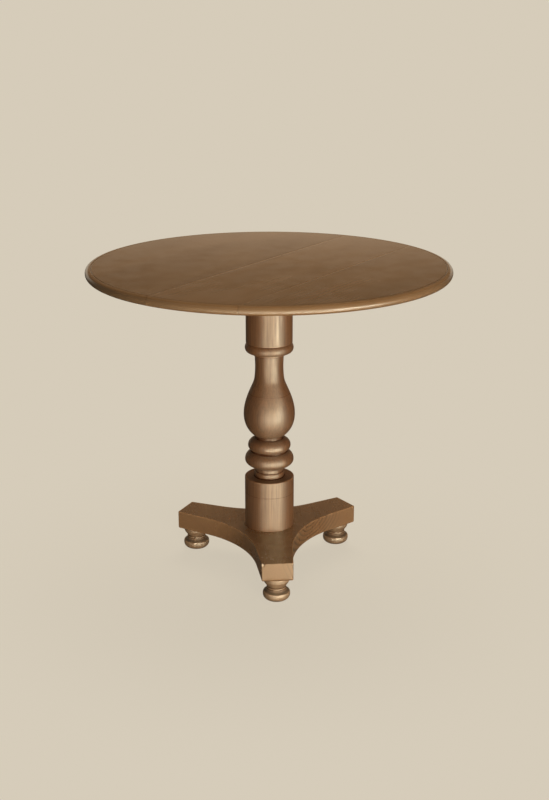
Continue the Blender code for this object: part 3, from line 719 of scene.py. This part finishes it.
def wear_along(points):
    """Wear at each point of an outline: above 0 on a rounded arris, below 0 in a hollow, which paints shade
    there.
    """
    places = [0.0]
    for start, end in zip(points, points[1:]):
        places.append(places[-1] + (end - start).length)
    bends = []
    for place, before, here, after in zip(places[1:], points, points[1:], points[2:]):
        ahead, back = after - here, here - before
        if ahead.length > 0 and back.length > 0:
            bends.append((place, ahead.angle_signed(back)))

    def gathered(place, reach):
        return sum(-bend * math.exp(-((place - at) / reach) ** 2) for at, bend in bends)

    def total(place):
        return gathered(place, WEAR_REACH) + min(0.0, gathered(place, HOLLOW_SHADE_REACH) + UNSHADED_TURN)

    return [max(-1.0, min(1.0, total(place))) for place in places]


def new_tree(name, sockets):
    """A geometry tree with these named inputs and one geometry output."""
    tree = bpy.data.node_groups.new(name, "GeometryNodeTree")
    for label, kind in sockets.items():
        tree.interface.new_socket(label, in_out='INPUT', socket_type=f"NodeSocket{kind}")
    tree.interface.new_socket("Geometry", in_out='OUTPUT', socket_type="NodeSocketGeometry")
    board = NodeBoard(tree)
    source = tree.nodes.new("NodeGroupInput")
    inputs = {label: Wire(board, source.outputs[label]) for label in sockets}
    return tree, board, inputs


def end_tree(board, geometry, finish):
    """Realizes what the tree has placed, gives it its finish and ends the tree."""
    whole = board.add("GeometryNodeRealizeInstances", {}, {"Geometry": geometry})
    made = board.add("GeometryNodeSetMaterial", {}, {"Geometry": whole, "Material": finish})
    board.feed(board.tree.nodes.new("NodeGroupOutput"), {"Geometry": made})


def spun(board, profile, sides):
    """Turns loose profile points about Z: a grid with the points as its rows and the turns as its columns."""
    rows = board.add("GeometryNodeAttributeDomainSize", {"component": 'MESH'}, {"Geometry": profile},
                     output="Point Count")
    columns = sides + 1
    grid = board.add("GeometryNodeMeshGrid", {}, {"Vertices X": rows, "Vertices Y": columns}, output="Mesh")
    index = board.add("GeometryNodeInputIndex")
    row = board.math('FLOOR', (index + 0.5) / columns)
    column = index - row * columns

    def of_row(kind, value):
        return board.add("GeometryNodeSampleIndex", {"data_type": kind},
                         {"Geometry": profile, "Value": value, "Index": row})

    point = of_row('FLOAT_VECTOR', board.add("GeometryNodeInputPosition"))
    place = board.turned_about_z(point, column * math.tau / sides)
    named = board.add("GeometryNodeInputNamedAttribute", {"data_type": 'FLOAT'}, {"Name": "wear"})
    wear = of_row('FLOAT', named)
    shape = board.add("GeometryNodeSetPosition", {}, {"Geometry": grid, "Position": place})
    shape = board.add("GeometryNodeStoreNamedAttribute", {"data_type": 'FLOAT', "domain": 'POINT'},
                      {"Geometry": shape, "Name": "wear", "Value": wear})
    return board.add("GeometryNodeMergeByDistance", {}, {"Geometry": shape, "Distance": WELD_DISTANCE})


def turning_tree():
    """Turns a profile on the lathe and sets copies of it in a ring."""
    tree, board, inputs = new_tree("Turning", {
        "Profile": "Geometry", "Sides": "Int", "Copies": "Int", "Distance": "Float", "First turn": "Float",
        "Finish": "Material"})
    shape = spun(board, inputs["Profile"], inputs["Sides"])
    angle = board.add("GeometryNodeInputIndex") * math.tau / inputs["Copies"] + inputs["First turn"]
    spot = board.turned_about_z(board.combined(X=inputs["Distance"]), angle)
    spots = board.add("GeometryNodePoints", {}, {"Count": inputs["Copies"], "Position": spot})
    copies = board.add("GeometryNodeInstanceOnPoints", {}, {"Points": spots, "Instance": shape})
    end_tree(board, copies, inputs["Finish"])
    return tree


def screw_tree():
    """Turns a screw, cuts its slot and sets one at each place, each turned by its own amount."""
    tree, board, inputs = new_tree("Screws", {
        "Profile": "Geometry", "Places": "Object", "Sides": "Int", "Slot width": "Float",
        "Slot depth": "Float", "Slot length": "Float", "Seed": "Int", "Finish": "Material"})
    blank = spun(board, inputs["Profile"], inputs["Sides"])
    size = board.combined(X=inputs["Slot length"], Y=inputs["Slot width"], Z=inputs["Slot depth"] * 2)
    slot = board.add("GeometryNodeMeshCube", {}, {"Size": size}, output="Mesh")
    screw = board.add("GeometryNodeMeshBoolean", {"operation": 'DIFFERENCE', "solver": 'EXACT'},
                      {"Mesh 1": blank, "Mesh 2": slot}, output="Mesh")
    places = board.add("GeometryNodeObjectInfo", {}, {"Object": inputs["Places"]}, output="Geometry")
    spin = board.add("FunctionNodeRandomValue", {"data_type": 'FLOAT'},
                     {2: 0.0, 3: math.pi, "Seed": inputs["Seed"]}, output=1)
    copies = board.add("GeometryNodeInstanceOnPoints", {},
                       {"Points": places, "Instance": screw, "Rotation": board.combined(Z=spin)})
    end_tree(board, copies, inputs["Finish"])
    return tree


def tree_named(name, maker):
    return bpy.data.node_groups.get(name) or maker()


def new_object(name, mesh):
    obj = bpy.data.objects.new(name, mesh)
    bpy.context.scene.collection.objects.link(obj)
    return obj


def mesh_from(shape, name):
    """A mesh of a shape, which is then let go."""
    mesh = bpy.data.meshes.new(name)
    shape.to_mesh(mesh)
    shape.free()
    return mesh


def paint(obj, finish):
    obj.data.materials.clear()
    obj.data.materials.append(finish)


def point_mesh(name, places, wear=None):
    """Loose points, with the wear of each."""
    mesh = bpy.data.meshes.new(name)
    mesh.from_pydata(places, [], [])
    attribute = mesh.attributes.new("wear", 'FLOAT', 'POINT')
    attribute.data.foreach_set("value", wear or [0.0] * len(places))
    return mesh


def settle(obj):
    """Makes what the object's modifiers give its plain mesh."""
    bpy.context.view_layer.update()
    evaluated = obj.evaluated_get(bpy.context.evaluated_depsgraph_get())
    mesh = bpy.data.meshes.new_from_object(evaluated)
    old = obj.data
    obj.modifiers.clear()
    obj.data = mesh
    bpy.data.meshes.remove(old)
    mesh.name = obj.name
    return obj


def smooth(obj):
    """Shades the object smoothly, with its large flat faces kept flat."""
    obj.data.shade_smooth()
    obj.data.set_sharp_from_angle(angle=SMOOTH_ANGLE)
    weighted = obj.modifiers.new("Weighted", 'WEIGHTED_NORMAL')
    weighted.keep_sharp = True
    return settle(obj)


def run_tree(obj, tree, values):
    """Runs a geometry tree on the object, with its inputs set by their identifiers."""
    modifier = obj.modifiers.new(tree.name, 'NODES')
    modifier.node_group = tree
    for item in tree.interface.items_tree:
        if item.in_out == 'INPUT' and item.name in values:
            modifier[item.identifier] = values[item.name]
    return settle(obj)


def outline_mesh(name, outline, ease):
    """An outline, eased and graded, as the loose points that a tree turns."""
    points = graded(eased(outline, ease))
    return point_mesh(name, [(radius, 0, height) for radius, height in points], wear_along(points))


def turned(name, outline, ease, sides, finish, copies=1, distance=0.0, first_turn=0.0):
    """A turned piece, or a ring of like ones, from an outline that runs down its outer side."""
    obj = new_object(name, outline_mesh(name, outline, ease))
    values = {"Sides": sides, "Copies": copies, "Distance": distance, "First turn": first_turn,
              "Finish": finish}
    return smooth(run_tree(obj, tree_named("Turning", turning_tree), values))


def pin_outline(radius, top, bottom):
    return [(0, top), (radius, top), (radius, bottom), (0, bottom)]


def grown_copies(nodes, gap):
    """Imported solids, each a little larger all round, joined as one cutter."""
    joined = bmesh.new()
    for node in nodes:
        copy = bmesh.new()
        copy.from_mesh(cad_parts[node].data)
        bmesh.ops.remove_doubles(copy, verts=copy.verts, dist=WELD_DISTANCE)
        copy.normal_update()
        moves = [(vert, vert.normal * gap * vert.calc_shell_factor()) for vert in copy.verts]
        for vert, move in moves:
            vert.co += move
        grown = mesh_from(copy, node)
        joined.from_mesh(grown)
        bpy.data.meshes.remove(grown)
    return mesh_from(joined, "cutter")


def cut(obj, mesh):
    """Cuts a mesh out of the object."""
    cutter = new_object("cutter", mesh)
    modifier = obj.modifiers.new("Cut", 'BOOLEAN')
    modifier.solver = 'EXACT'
    modifier.object = cutter
    settle(obj)
    bpy.data.objects.remove(cutter)
    bpy.data.meshes.remove(mesh)
    return smooth(obj)


def hand_over(piece, slot, *nodes):
    """Attaches the finished piece to the root body and hides the imported solids that it stands for; slot is
    not used.
    """
    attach(piece, "root")
    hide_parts(*nodes)


def top_outline(sizes):
    """Section of the whole round top: flat, scratched line, half-round edge."""
    top, underside = CAD_HIGH.z, CAD_HIGH.z - sizes.thickness
    inset, width, depth = sizes.quirk
    line = sizes.radius - inset
    quirk = [(line - width / 2, top), (line, top - depth), (line + width / 2, top)]
    edge = half_round(sizes.radius, sizes.thickness / 2, top, underside)
    return [(0, top)] + quirk + edge + [(0, underside)]


def grain_axes(top):
    """Directions along and across the boards' grain."""
    along = Vector((math.cos(top.grain_turn), math.sin(top.grain_turn), 0))
    return along, Vector((-along.y, along.x, 0))


def sawn(shape, place, outward, kind, clear=False):
    """Saws a shape at a plane, clears what lies beyond it if asked, and gives the cut's vertices or edges."""
    everything = shape.verts[:] + shape.edges[:] + shape.faces[:]
    made = bmesh.ops.bisect_plane(shape, geom=everything, dist=WELD_DISTANCE, plane_co=place,
                                  plane_no=outward, clear_outer=clear)
    return [item for item in made["geom_cut"] if isinstance(item, kind)]


def board_from(disc, name, back, front, across, ease):
    """The part of the round top between two joints, with its joints' arrises eased and a little rubbed."""
    shape = bmesh.new()
    shape.from_mesh(disc)
    wear = shape.verts.layers.float["wear"]

    def on_top(vert):
        return vert.co.z > CAD_HIGH.z - ease

    for limit, outward in ((back, across), (front, -across)):
        if limit is None:
            continue
        for strip, worn in JOINT_STRIPS:
            place = across * limit - outward * (strip * ease)
            for vert in sawn(shape, place, outward, bmesh.types.BMVert):
                vert[wear] += worn if on_top(vert) else -worn / STRIP_DIRT_PART
        rim = sawn(shape, across * limit, outward, bmesh.types.BMEdge, clear=True)
        face = bmesh.ops.contextual_create(shape, geom=rim)["faces"][0]
        arris = bmesh.ops.bevel(shape, geom=face.edges[:], offset=ease, segments=2, affect='EDGES',
                                profile=0.5)
        for vert in arris["verts"]:
            vert[wear] = JOINT_WEAR if on_top(vert) else JOINT_DIRT
    bmesh.ops.recalc_face_normals(shape, faces=shape.faces)
    return mesh_from(shape, name)


class TABLE_OT_boards(Operator):
    """Make the three boards of the round top"""

    bl_idname = "table.make_boards"
    bl_label = "Make the boards"

    def execute(self, context):
        sizes = context.scene.table_top
        along, across = grain_axes(sizes)
        disc = turned("disc", top_outline(sizes), sizes.arris, sizes.sides, None)
        half_gap = FIT_GAP / 2
        back_joint, front_joint = sizes.joints
        # Back and front limit, shift of the pith and tone of each board
        boards = {
            "back": (None, back_joint + half_gap, (0.16, -0.06, 0.0), 0.97),
            "middle": (back_joint - half_gap, front_joint + half_gap, (-0.07, 0.05, 0.3), 1.03),
            "front": (front_joint - half_gap, None, (0.10, 0.28, 0.7), 1.0),
        }
        pegs = [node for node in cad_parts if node.startswith("dowel") or "_screw_" in node]
        for side, (back, front, pith, tone) in boards.items():
            name = f"board_{side}"
            obj = new_object(name, board_from(disc.data, name, back, front, across, sizes.joint_ease))
            cut(obj, grown_copies(pegs, FIT_GAP))
            paint(obj, wood_finish(f"top_wood_{side}", "top", along, WAXED_TOP, pith, figure=0.22,
                                   ring_width=0.006, tone=tone))
            hand_over(obj, "top_wood", f"top_board_{side}")
        bpy.data.objects.remove(disc)
        return {'FINISHED'}


def lower_column(sizes, base):
    """Lower drum, astragal and collar, from the top down, and the collar's top height."""
    drum_radius, drum_height = sizes.lower_drum
    astragal_radius, astragal_height = sizes.astragal
    collar_radius, collar_height = sizes.collar
    drum_top = base + drum_height
    astragal_top = drum_top + astragal_height
    collar_top = astragal_top + collar_height
    drum = [(drum_radius - sizes.drum_edge, drum_top),
            (drum_radius, drum_top - sizes.drum_edge),
            (drum_radius, base)]
    points = [(collar_radius, collar_top)]
    points += half_round(astragal_radius, astragal_radius - collar_radius, astragal_top, drum_top)
    points += scribed(drum, drum_top - sizes.lower_scribe_drop, *sizes.scribe)
    return points, collar_top


def ring(bottom, size, top_radius, bottom_radius):
    """One cushion-shaped ring, from the top down."""
    radius, height, middle = size
    return curves((top_radius, bottom + height),
                  ((radius, bottom + middle), RING_TOP_PULLS),
                  ((bottom_radius, bottom), RING_BOTTOM_PULLS))


def ring_stack(sizes, bottom):
    """The two rings with the groove between them, from the top down, and their top height."""
    groove_radius, groove_height = sizes.groove
    groove_top = bottom + sizes.lower_ring[1] + groove_height
    upper = ring(groove_top, sizes.upper_ring, sizes.vase_fillet[0], groove_radius)
    lower = ring(bottom, sizes.lower_ring, groove_radius, sizes.collar[0])
    return upper + lower[:-1], groove_top + sizes.upper_ring[1]


def risen(base, size):
    """A profile point from its radius and its height over a base."""
    radius, height = size
    return (radius, base + height)


def vase_and_neck(sizes, bottom):
    """Neck, vase and the fillet under it, from the top down, and the neck's top height."""
    fillet_radius, foot = risen(bottom, sizes.vase_fillet)
    belly, shoulder = risen(foot, sizes.vase_belly), risen(foot, sizes.vase_shoulder)
    waist, neck_top = risen(shoulder[1], sizes.neck_waist), risen(shoulder[1], sizes.neck_top)
    points = curves(neck_top, (waist, NECK_TOP_PULLS), (shoulder, NECK_BOTTOM_PULLS), (belly, VASE_TOP_PULLS))
    points = scribed(points, shoulder[1] - sizes.vase_scribe_drop, *sizes.scribe)
    points += curve(belly, (sizes.vase_foot_radius, foot), VASE_BOTTOM_PULLS)
    points.append((fillet_radius, foot))
    return points, neck_top[1]


def upper_column(sizes, bottom, top):
    """Upper drum, bead and the fillet under it, from the top down."""
    fillet_radius, bead_bottom = risen(bottom, sizes.bead_fillet)
    bead_radius, bead_height, bead_depth = sizes.bead
    bead_top = bead_bottom + bead_height
    points = [(sizes.upper_drum_radius, top), (sizes.upper_drum_radius, bead_top)]
    points += half_round(bead_radius, bead_depth, bead_top, bead_bottom)
    return points + [(fillet_radius, bead_bottom), (fillet_radius, bottom)]


def column_outline(sizes):
    """The whole turned column with its two tenons, from the top down."""
    base = PLATFORM_HIGH.z + FIT_GAP
    drum_top = BLOCK_LOW.z - FIT_GAP
    lower, rings_bottom = lower_column(sizes, base)
    rings, vase_bottom = ring_stack(sizes, rings_bottom)
    vase, neck_top = vase_and_neck(sizes, vase_bottom)
    upper = upper_column(sizes, neck_top, drum_top)
    tenon = sizes.tenon_radius
    points = [(0, COLUMN_HIGH.z), (tenon, COLUMN_HIGH.z), (tenon, drum_top)]
    points += upper + vase + rings + lower
    return points + [(tenon, base), (tenon, COLUMN_LOW.z), (0, COLUMN_LOW.z)]


class TABLE_OT_column(Operator):
    """Turn the column and saw its tenons for their wedges"""

    bl_idname = "table.turn_column"
    bl_label = "Turn the column"

    def execute(self, context):
        sizes = context.scene.table_column
        finish = wood_finish("turned_wood", "turned", UPRIGHT, TURNED_COLUMN, pith=(0.11, 0.07, 0.0),
                             figure=1.8)
        obj = turned("turned_column", column_outline(sizes), sizes.arris, sizes.sides, finish)
        cut(obj, grown_copies(["upper_wedge", "lower_wedge"], FIT_GAP))
        hand_over(obj, "turned_wood", "column")
        return {'FINISHED'}


def foot_outline(sizes):
    """One turned foot with its tenon, from the top down, standing on the floor."""
    shoulder = PLATFORM_LOW.z - FIT_GAP
    collar_radius, collar_band = sizes.collar
    neck_radius, neck_drop = sizes.neck
    fillet_radius, fillet_height = sizes.fillet
    fillet_top = shoulder - neck_drop
    fillet_bottom = fillet_top - fillet_height
    points = [(0, FOOT_HIGH.z), (sizes.tenon_radius, FOOT_HIGH.z), (sizes.tenon_radius, shoulder),
              (collar_radius, shoulder)]
    points += curves((collar_radius, shoulder - collar_band), ((neck_radius, fillet_top), FOOT_COLLAR_PULLS))
    points += [(fillet_radius, fillet_top), (fillet_radius, fillet_bottom)]
    points += curves((neck_radius, fillet_bottom),
                     (tuple(sizes.rim), FOOT_COVE_PULLS),
                     (tuple(sizes.bun), FOOT_BUN_TOP_PULLS),
                     ((sizes.pad_radius, FOOT_LOW.z), FOOT_BUN_BOTTOM_PULLS))
    return points + [(0, FOOT_LOW.z)]


class TABLE_OT_feet(Operator):
    """Turn the three feet"""

    bl_idname = "table.turn_feet"
    bl_label = "Turn the feet"

    def execute(self, context):
        sizes = context.scene.table_feet
        # The feet's faces that look up get painted shade
        finish = wood_finish("foot_wood", "foot", UPRIGHT, TURNED_FOOT, pith=(0.31, 0.26, 0.0), figure=0.5,
                             level_tone=0.45)
        obj = turned("turned_feet", foot_outline(sizes), sizes.arris, sizes.sides, finish, *FOOT_RING)
        hand_over(obj, "turned_wood", *(f"foot_{arm}" for arm in ARM_ANGLES))
        return {'FINISHED'}


def crossing(first, second):
    """Where two lines meet, each given as its unit normal and its distance from the origin."""
    (a, b), p = first
    (c, d), q = second
    whole = a * d - b * c
    return Vector(((p * d - q * b) / whole, (a * q - c * p) / whole))


def half_side(sizes, inset):
    """Half of a hollow side, from its middle to an arm's end, as (across, out), drawn in by an inset."""
    flank = sizes.flank_turn
    end_normal = Vector((math.sin(HALF_SPREAD), math.cos(HALF_SPREAD)))
    flank_normal = Vector((-math.sin(flank), math.cos(flank)))
    end_across = sizes.reach * end_normal.x - sizes.end_width / 2 * end_normal.y
    end_out = sizes.reach * end_normal.y + sizes.end_width / 2 * end_normal.x
    centre_out = end_out - end_across * math.tan(flank) + sizes.side_radius / math.cos(flank)

    def corner_at(depth):
        flank_line = (flank_normal, centre_out * math.cos(flank) - sizes.side_radius - depth)
        return crossing((end_normal, sizes.reach - depth), flank_line)

    radius = sizes.side_radius + inset
    points = []
    for i in range(ARC_STEPS // 2 + 1):
        angle = flank * 2 * i / ARC_STEPS
        points.append(Vector((radius * math.sin(angle), centre_out - radius * math.cos(angle))))
    left = sizes.corner_round - inset
    for i in range(CORNER_STEPS + 1):
        outward = flank_normal.slerp(end_normal, i / CORNER_STEPS)
        points.append(corner_at(sizes.corner_round) + outward * left if left > 0 else corner_at(inset))
    return points


def platform_ring(sizes, inset):
    """The platform's whole outline, anticlockwise, drawn in by an inset."""
    half = half_side(sizes, inset)
    local = [Vector((-point.x, point.y)) for point in reversed(half)] + half[1:]
    points = []
    for arm_turn in ARM_ANGLES.values():
        cosine, sine = math.cos(arm_turn + HALF_SPREAD), math.sin(arm_turn + HALF_SPREAD)
        points += [(out * cosine - across * sine, out * sine + across * cosine) for across, out in local]
    return points


def platform_levels(sizes):
    """Insets, heights and wear of the platform's outlines, from inside its underside to inside its top."""
    low, high = PLATFORM_LOW.z, PLATFORM_HIGH.z
    angles = [math.pi / 2 * i / CORNER_STEPS for i in range(CORNER_STEPS + 1)]
    lower, upper = sizes.bottom_round, sizes.top_round
    levels = [(inset, low, worn) for inset, worn in reversed(UNDERSIDE_FADE)]
    for angle in angles:
        levels.append((lower * (1 - math.sin(angle)), low + lower * (1 - math.cos(angle)), LOWER_EDGE_WEAR))
    levels += [(0.0, low + rise, worn) for rise, worn in LOWER_SIDE_FADE]
    levels += [(0.0, high - drop, worn) for drop, worn in reversed(UPPER_SIDE_FADE)]
    # The upper edges' wear also paints a highlight along them
    for angle in angles:
        levels.append((upper * (1 - math.cos(angle)), high - upper * (1 - math.sin(angle)), UPPER_EDGE_WEAR_AND_HIGHLIGHT))
    return levels + [(inset, high, worn) for inset, worn in TOP_FADE]


def platform_mesh(sizes):
    """The whole platform, skinned over its outlines and not yet bored."""
    shape = bmesh.new()
    wear = shape.verts.layers.float.new("wear")
    rows = []
    for inset, height, worn in platform_levels(sizes):
        row = [shape.verts.new((x, y, height)) for x, y in platform_ring(sizes, inset)]
        for vert in row:
            vert[wear] = worn
        rows.append(row)
    for lower, upper in zip(rows, rows[1:]):
        for i, vert in enumerate(lower):
            shape.faces.new((lower[i - 1], vert, upper[i], upper[i - 1]))
    shape.faces.new(reversed(rows[0]))
    shape.faces.new(rows[-1])
    bmesh.ops.remove_doubles(shape, verts=shape.verts, dist=WELD_DISTANCE)
    bmesh.ops.recalc_face_normals(shape, faces=shape.faces)
    return mesh_from(shape, "platform")


def chip_mesh(corner, size, finish):
    """A rough lump that knocks a chip out of a corner."""
    shape = bmesh.new()
    bmesh.ops.create_icosphere(shape, subdivisions=2, radius=size / 2)
    wear = shape.verts.layers.float.new("wear")
    for vert in shape.verts:
        lump = 1 + CHIP_LUMPS * math.sin(vert.index * CHIP_LUMP_TURN)
        vert[wear] = CHIP_DARKENING if vert.co.x > size * CHIP_INSIDE else CHIP_WEAR
        vert.co = corner + CHIP_SHIFT * size + vert.co * CHIP_STRETCH * lump
    mesh = mesh_from(shape, "chip")
    mesh.materials.append(finish)
    return mesh


class TABLE_OT_platform(Operator):
    """Shape the three-armed platform, bore it for the column and the feet, and chip one corner"""

    bl_idname = "table.shape_platform"
    bl_label = "Shape the platform"

    def execute(self, context):
        sizes = context.scene.table_platform
        feet, column = context.scene.table_feet, context.scene.table_column
        # The platform's faces that look up get painted shade
        finish = wood_finish("platform_wood", "platform", (0, 1, 0), WAXED_PLATFORM,
                             pith=(-0.095, 0.110, 0.0), figure=0.5, ring_width=0.0090, ring_share=0.80,
                             ring_reach=0.100, level_rings=0.1, level_tone=0.67)
        obj = new_object("shaped_platform", platform_mesh(sizes))
        paint(obj, finish)
        past = PLATFORM_HIGH.z - PLATFORM_LOW.z
        mortise = pin_outline(column.tenon_radius + FIT_GAP, PLATFORM_HIGH.z + past, PLATFORM_LOW.z - past)
        hole = pin_outline(feet.tenon_radius + FIT_GAP, FOOT_HIGH.z + FIT_GAP, PLATFORM_LOW.z - past)
        cutters = [turned("mortise", mortise, FIT_GAP, column.sides, finish),
                   turned("holes", hole, FIT_GAP, feet.sides, finish, *FOOT_RING)]
        for cutter in cutters:
            cut(obj, cutter.data.copy())
            bpy.data.objects.remove(cutter)
        corner = Vector((-sizes.end_width / 2, -sizes.reach, PLATFORM_HIGH.z))
        cut(obj, chip_mesh(corner, sizes.chip, finish))
        hand_over(obj, "platform_wood", "platform")
        return {'FINISHED'}


class TABLE_OT_underframe(Operator):
    """Finish the block and the battens under the top"""

    bl_idname = "table.finish_underframe"
    bl_label = "Finish the underframe"

    def execute(self, context):
        along, across = grain_axes(context.scene.table_top)
        block = wood_finish("block_wood", "under", along, BARE, pith=(0.02, 0.11, 0.0))
        batten = wood_finish("batten_wood", "under", across, BARE, pith=(0.05, 0.09, 0.0), tone=0.95)
        for node, finish in (("top_block", block), ("batten_left", batten), ("batten_right", batten)):
            paint(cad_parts[node], finish)
        return {'FINISHED'}


class TABLE_OT_pegs(Operator):
    """Finish the dowels and the wedges"""

    bl_idname = "table.finish_pegs"
    bl_label = "Finish the pegs"

    def execute(self, context):
        across = grain_axes(context.scene.table_top)[1]
        dowel = wood_finish("dowel_wood", "peg", across, BARE, pith=(0.03, 0.02, 0.0), ring_width=0.003)
        wedge = wood_finish("wedge_wood", "peg", UPRIGHT, BARE, pith=(0.06, 0.03, 0.0), ring_width=0.003)
        for node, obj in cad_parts.items():
            if node.startswith("dowel"):
                paint(obj, dowel)
            elif node.endswith("wedge"):
                paint(obj, wedge)
        return {'FINISHED'}


def screw_outline(sizes, long):
    """A countersunk screw from its point down to its head, whose face lies at height 0."""
    head_radius, head_height, head_rim = sizes.head
    return [(0, long),
            (sizes.shank_radius, long - sizes.point_length),
            (sizes.shank_radius, head_height),
            (head_radius, head_rim),
            (head_radius, 0),
            (0, 0)]


class TABLE_OT_screws(Operator):
    """Drive the slotted screws of the block and of the battens"""

    bl_idname = "table.drive_screws"
    bl_label = "Drive the screws"

    def execute(self, context):
        sizes, colours = context.scene.table_screws, context.scene.table_colours
        head_radius, _, head_rim = sizes.head
        slot_width, slot_depth = sizes.slot
        values = {"Sides": sizes.sides, "Slot width": slot_width, "Slot depth": slot_depth,
                  "Slot length": SLOT_RADII * head_radius, "Seed": sizes.seed,
                  "Finish": steel_finish("screw_steel", Vector(colours.steel), Vector(colours.rust))}
        for held in ("block", "batten"):
            nodes = sorted(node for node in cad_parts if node.startswith(held) and "_screw_" in node)
            boxes = [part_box(node) for node in nodes]
            middles = [((low.x + high.x) / 2, (low.y + high.y) / 2, low.z) for low, high in boxes]
            places = new_object(f"{held}_screw_places", point_mesh("places", middles))
            outline = screw_outline(sizes, boxes[0][1].z - boxes[0][0].z)
            obj = new_object(f"{held}_screws", outline_mesh("screw", outline, head_rim / 2))
            smooth(run_tree(obj, tree_named("Screws", screw_tree), {"Places": places, **values}))
            bpy.data.objects.remove(places)
            hand_over(obj, "screw_steel", *nodes)
        return {'FINISHED'}


def ground_mix(board, seen, mirrored, unseen):
    """What camera rays meet, what glossy and transmission rays meet, and what other rays meet."""
    rays = board.tree.nodes.new("ShaderNodeLightPath")
    camera, glossy, clear = (Wire(board, rays.outputs[f"Is {kind} Ray"])
                             for kind in ("Camera", "Glossy", "Transmission"))
    either = board.math('MAXIMUM', camera, board.math('MAXIMUM', glossy, clear))
    return board.mix(either, unseen, board.mix(camera, mirrored, seen))


def floor_finish(stage):
    """Pale ground that keeps a soft shadow round the table."""
    material, board, shader = new_finish("ground")
    board.tree.nodes.remove(shader)
    here = board.add("ShaderNodeTexCoord", output="Object")
    distance = board.measure('LENGTH', here)
    beyond = board.ramp(distance, SHADOW_CORE * stage.shadow_reach, stage.shadow_reach)
    paper = opaque(stage.paper)
    plain = board.add("ShaderNodeEmission", {}, {"Color": paper})
    matt = board.add("ShaderNodeBsdfDiffuse", {}, {"Color": paper})
    dim = board.add("ShaderNodeEmission", {}, {"Color": paper, "Strength": stage.mirror})
    seen = board.mix(stage.shadow_share * (1 - beyond), plain, matt)
    board.feed(board.tree.nodes["Material Output"], {"Surface": ground_mix(board, seen, dim, matt)})
    return material


def light_world(stage):
    """Even light all round, the ground's colour behind the floor, and in reflections a wall in a dim room."""
    world = bpy.data.worlds.new("studio")
    world.use_nodes = True
    board = NodeBoard(world.node_tree)
    board.tree.nodes.remove(board.tree.nodes["Background"])

    def glow(rgb, strength):
        return board.add("ShaderNodeBackground", {}, {"Color": opaque(rgb), "Strength": strength})

    aim = board.add("ShaderNodeTexCoord", output="Generated")
    over_wall = board.ramp(board.part(aim, "Z"), *WALL_FADE)
    on_wall = board.ramp(board.part(aim, "Y"), *WALL_SPREAD) * (1 - over_wall)
    mirrored = board.mix(on_wall, glow(stage.paper, stage.mirror), glow(stage.paper, stage.wall_mirror))
    surface = ground_mix(board, glow(stage.paper, 1.0), mirrored, glow(FILL_COLOUR, stage.fill))
    board.feed(board.tree.nodes["World Output"], {"Surface": surface})
    bpy.context.scene.world = world


def aim_at(obj, place, direction):
    """Sets a lamp or a camera in its place, looking in a direction."""
    obj.location = place
    obj.rotation_euler = Vector(direction).to_track_quat('-Z', 'Y').to_euler()
    bpy.context.scene.collection.objects.link(obj)


def hang_lamp(name, lamp, watts):
    """A flat lamp that either lights surfaces or only shows in their reflections."""
    light = bpy.data.lights.new(name, 'AREA')
    light.shape = 'RECTANGLE'
    light.size, light.size_y = lamp.size
    light.energy = watts
    light.color = LAMP_COLOUR
    obj = bpy.data.objects.new(name, light)
    obj.visible_camera = False
    obj.visible_diffuse = not lamp.mirrored
    obj.visible_glossy = lamp.mirrored
    aim_at(obj, lamp.place, Vector(lamp.target) - Vector(lamp.place))


class TABLE_OT_stage(Operator):
    """Set the floor, the lamps and the camera"""

    bl_idname = "table.set_stage"
    bl_label = "Set the stage"

    def execute(self, context):
        stage = context.scene.table_stage
        shape = bmesh.new()
        bmesh.ops.create_circle(shape, cap_ends=True, segments=FLOOR_SIDES, radius=stage.floor_radius)
        floor = new_object("floor", mesh_from(shape, "floor"))
        paint(floor, floor_finish(stage))

        light_world(stage)
        for name, lamp in LAMPS.items():
            hang_lamp(name, lamp, getattr(stage, name))

        camera = bpy.data.cameras.new("camera")
        camera.lens = stage.lens
        view = bpy.data.objects.new("camera", camera)
        aim_at(view, CAMERA_PLACE, CAMERA_AIM)
        context.scene.camera = view
        context.scene.view_settings.view_transform = 'Standard'
        return {'FINISHED'}


class TABLE_PT_workshop(Panel):
    """The steps that make the table"""

    bl_idname = "TABLE_PT_workshop"
    bl_label = "Round pedestal table"
    bl_space_type = 'VIEW_3D'
    bl_region_type = 'UI'
    bl_category = "Table"

    def draw(self, context):
        for step in STEPS:
            self.layout.operator(step.bl_idname)


STEPS = (TABLE_OT_boards, TABLE_OT_column, TABLE_OT_feet, TABLE_OT_platform, TABLE_OT_underframe,
         TABLE_OT_pegs, TABLE_OT_screws, TABLE_OT_stage)
SETTINGS = {"table_top": TopSizes, "table_column": ColumnSizes, "table_feet": FootSizes,
            "table_platform": PlatformSizes, "table_screws": ScrewSizes, "table_colours": WoodColours,
            "table_stage": StageSettings}
CLASSES = (*SETTINGS.values(), *STEPS, TABLE_PT_workshop)


def register():
    for cls in CLASSES:
        bpy.utils.register_class(cls)
    for name, cls in SETTINGS.items():
        setattr(bpy.types.Scene, name, PointerProperty(type=cls))


def unregister():
    for name in SETTINGS:
        delattr(bpy.types.Scene, name)
    for cls in reversed(CLASSES):
        bpy.utils.unregister_class(cls)


def main():
    register()
    bpy.ops.table.make_boards()
    bpy.ops.table.turn_column()
    bpy.ops.table.turn_feet()
    bpy.ops.table.shape_platform()
    bpy.ops.table.finish_underframe()
    bpy.ops.table.finish_pegs()
    bpy.ops.table.drive_screws()
    bpy.ops.table.set_stage()


if __name__ == "__main__":
    main()
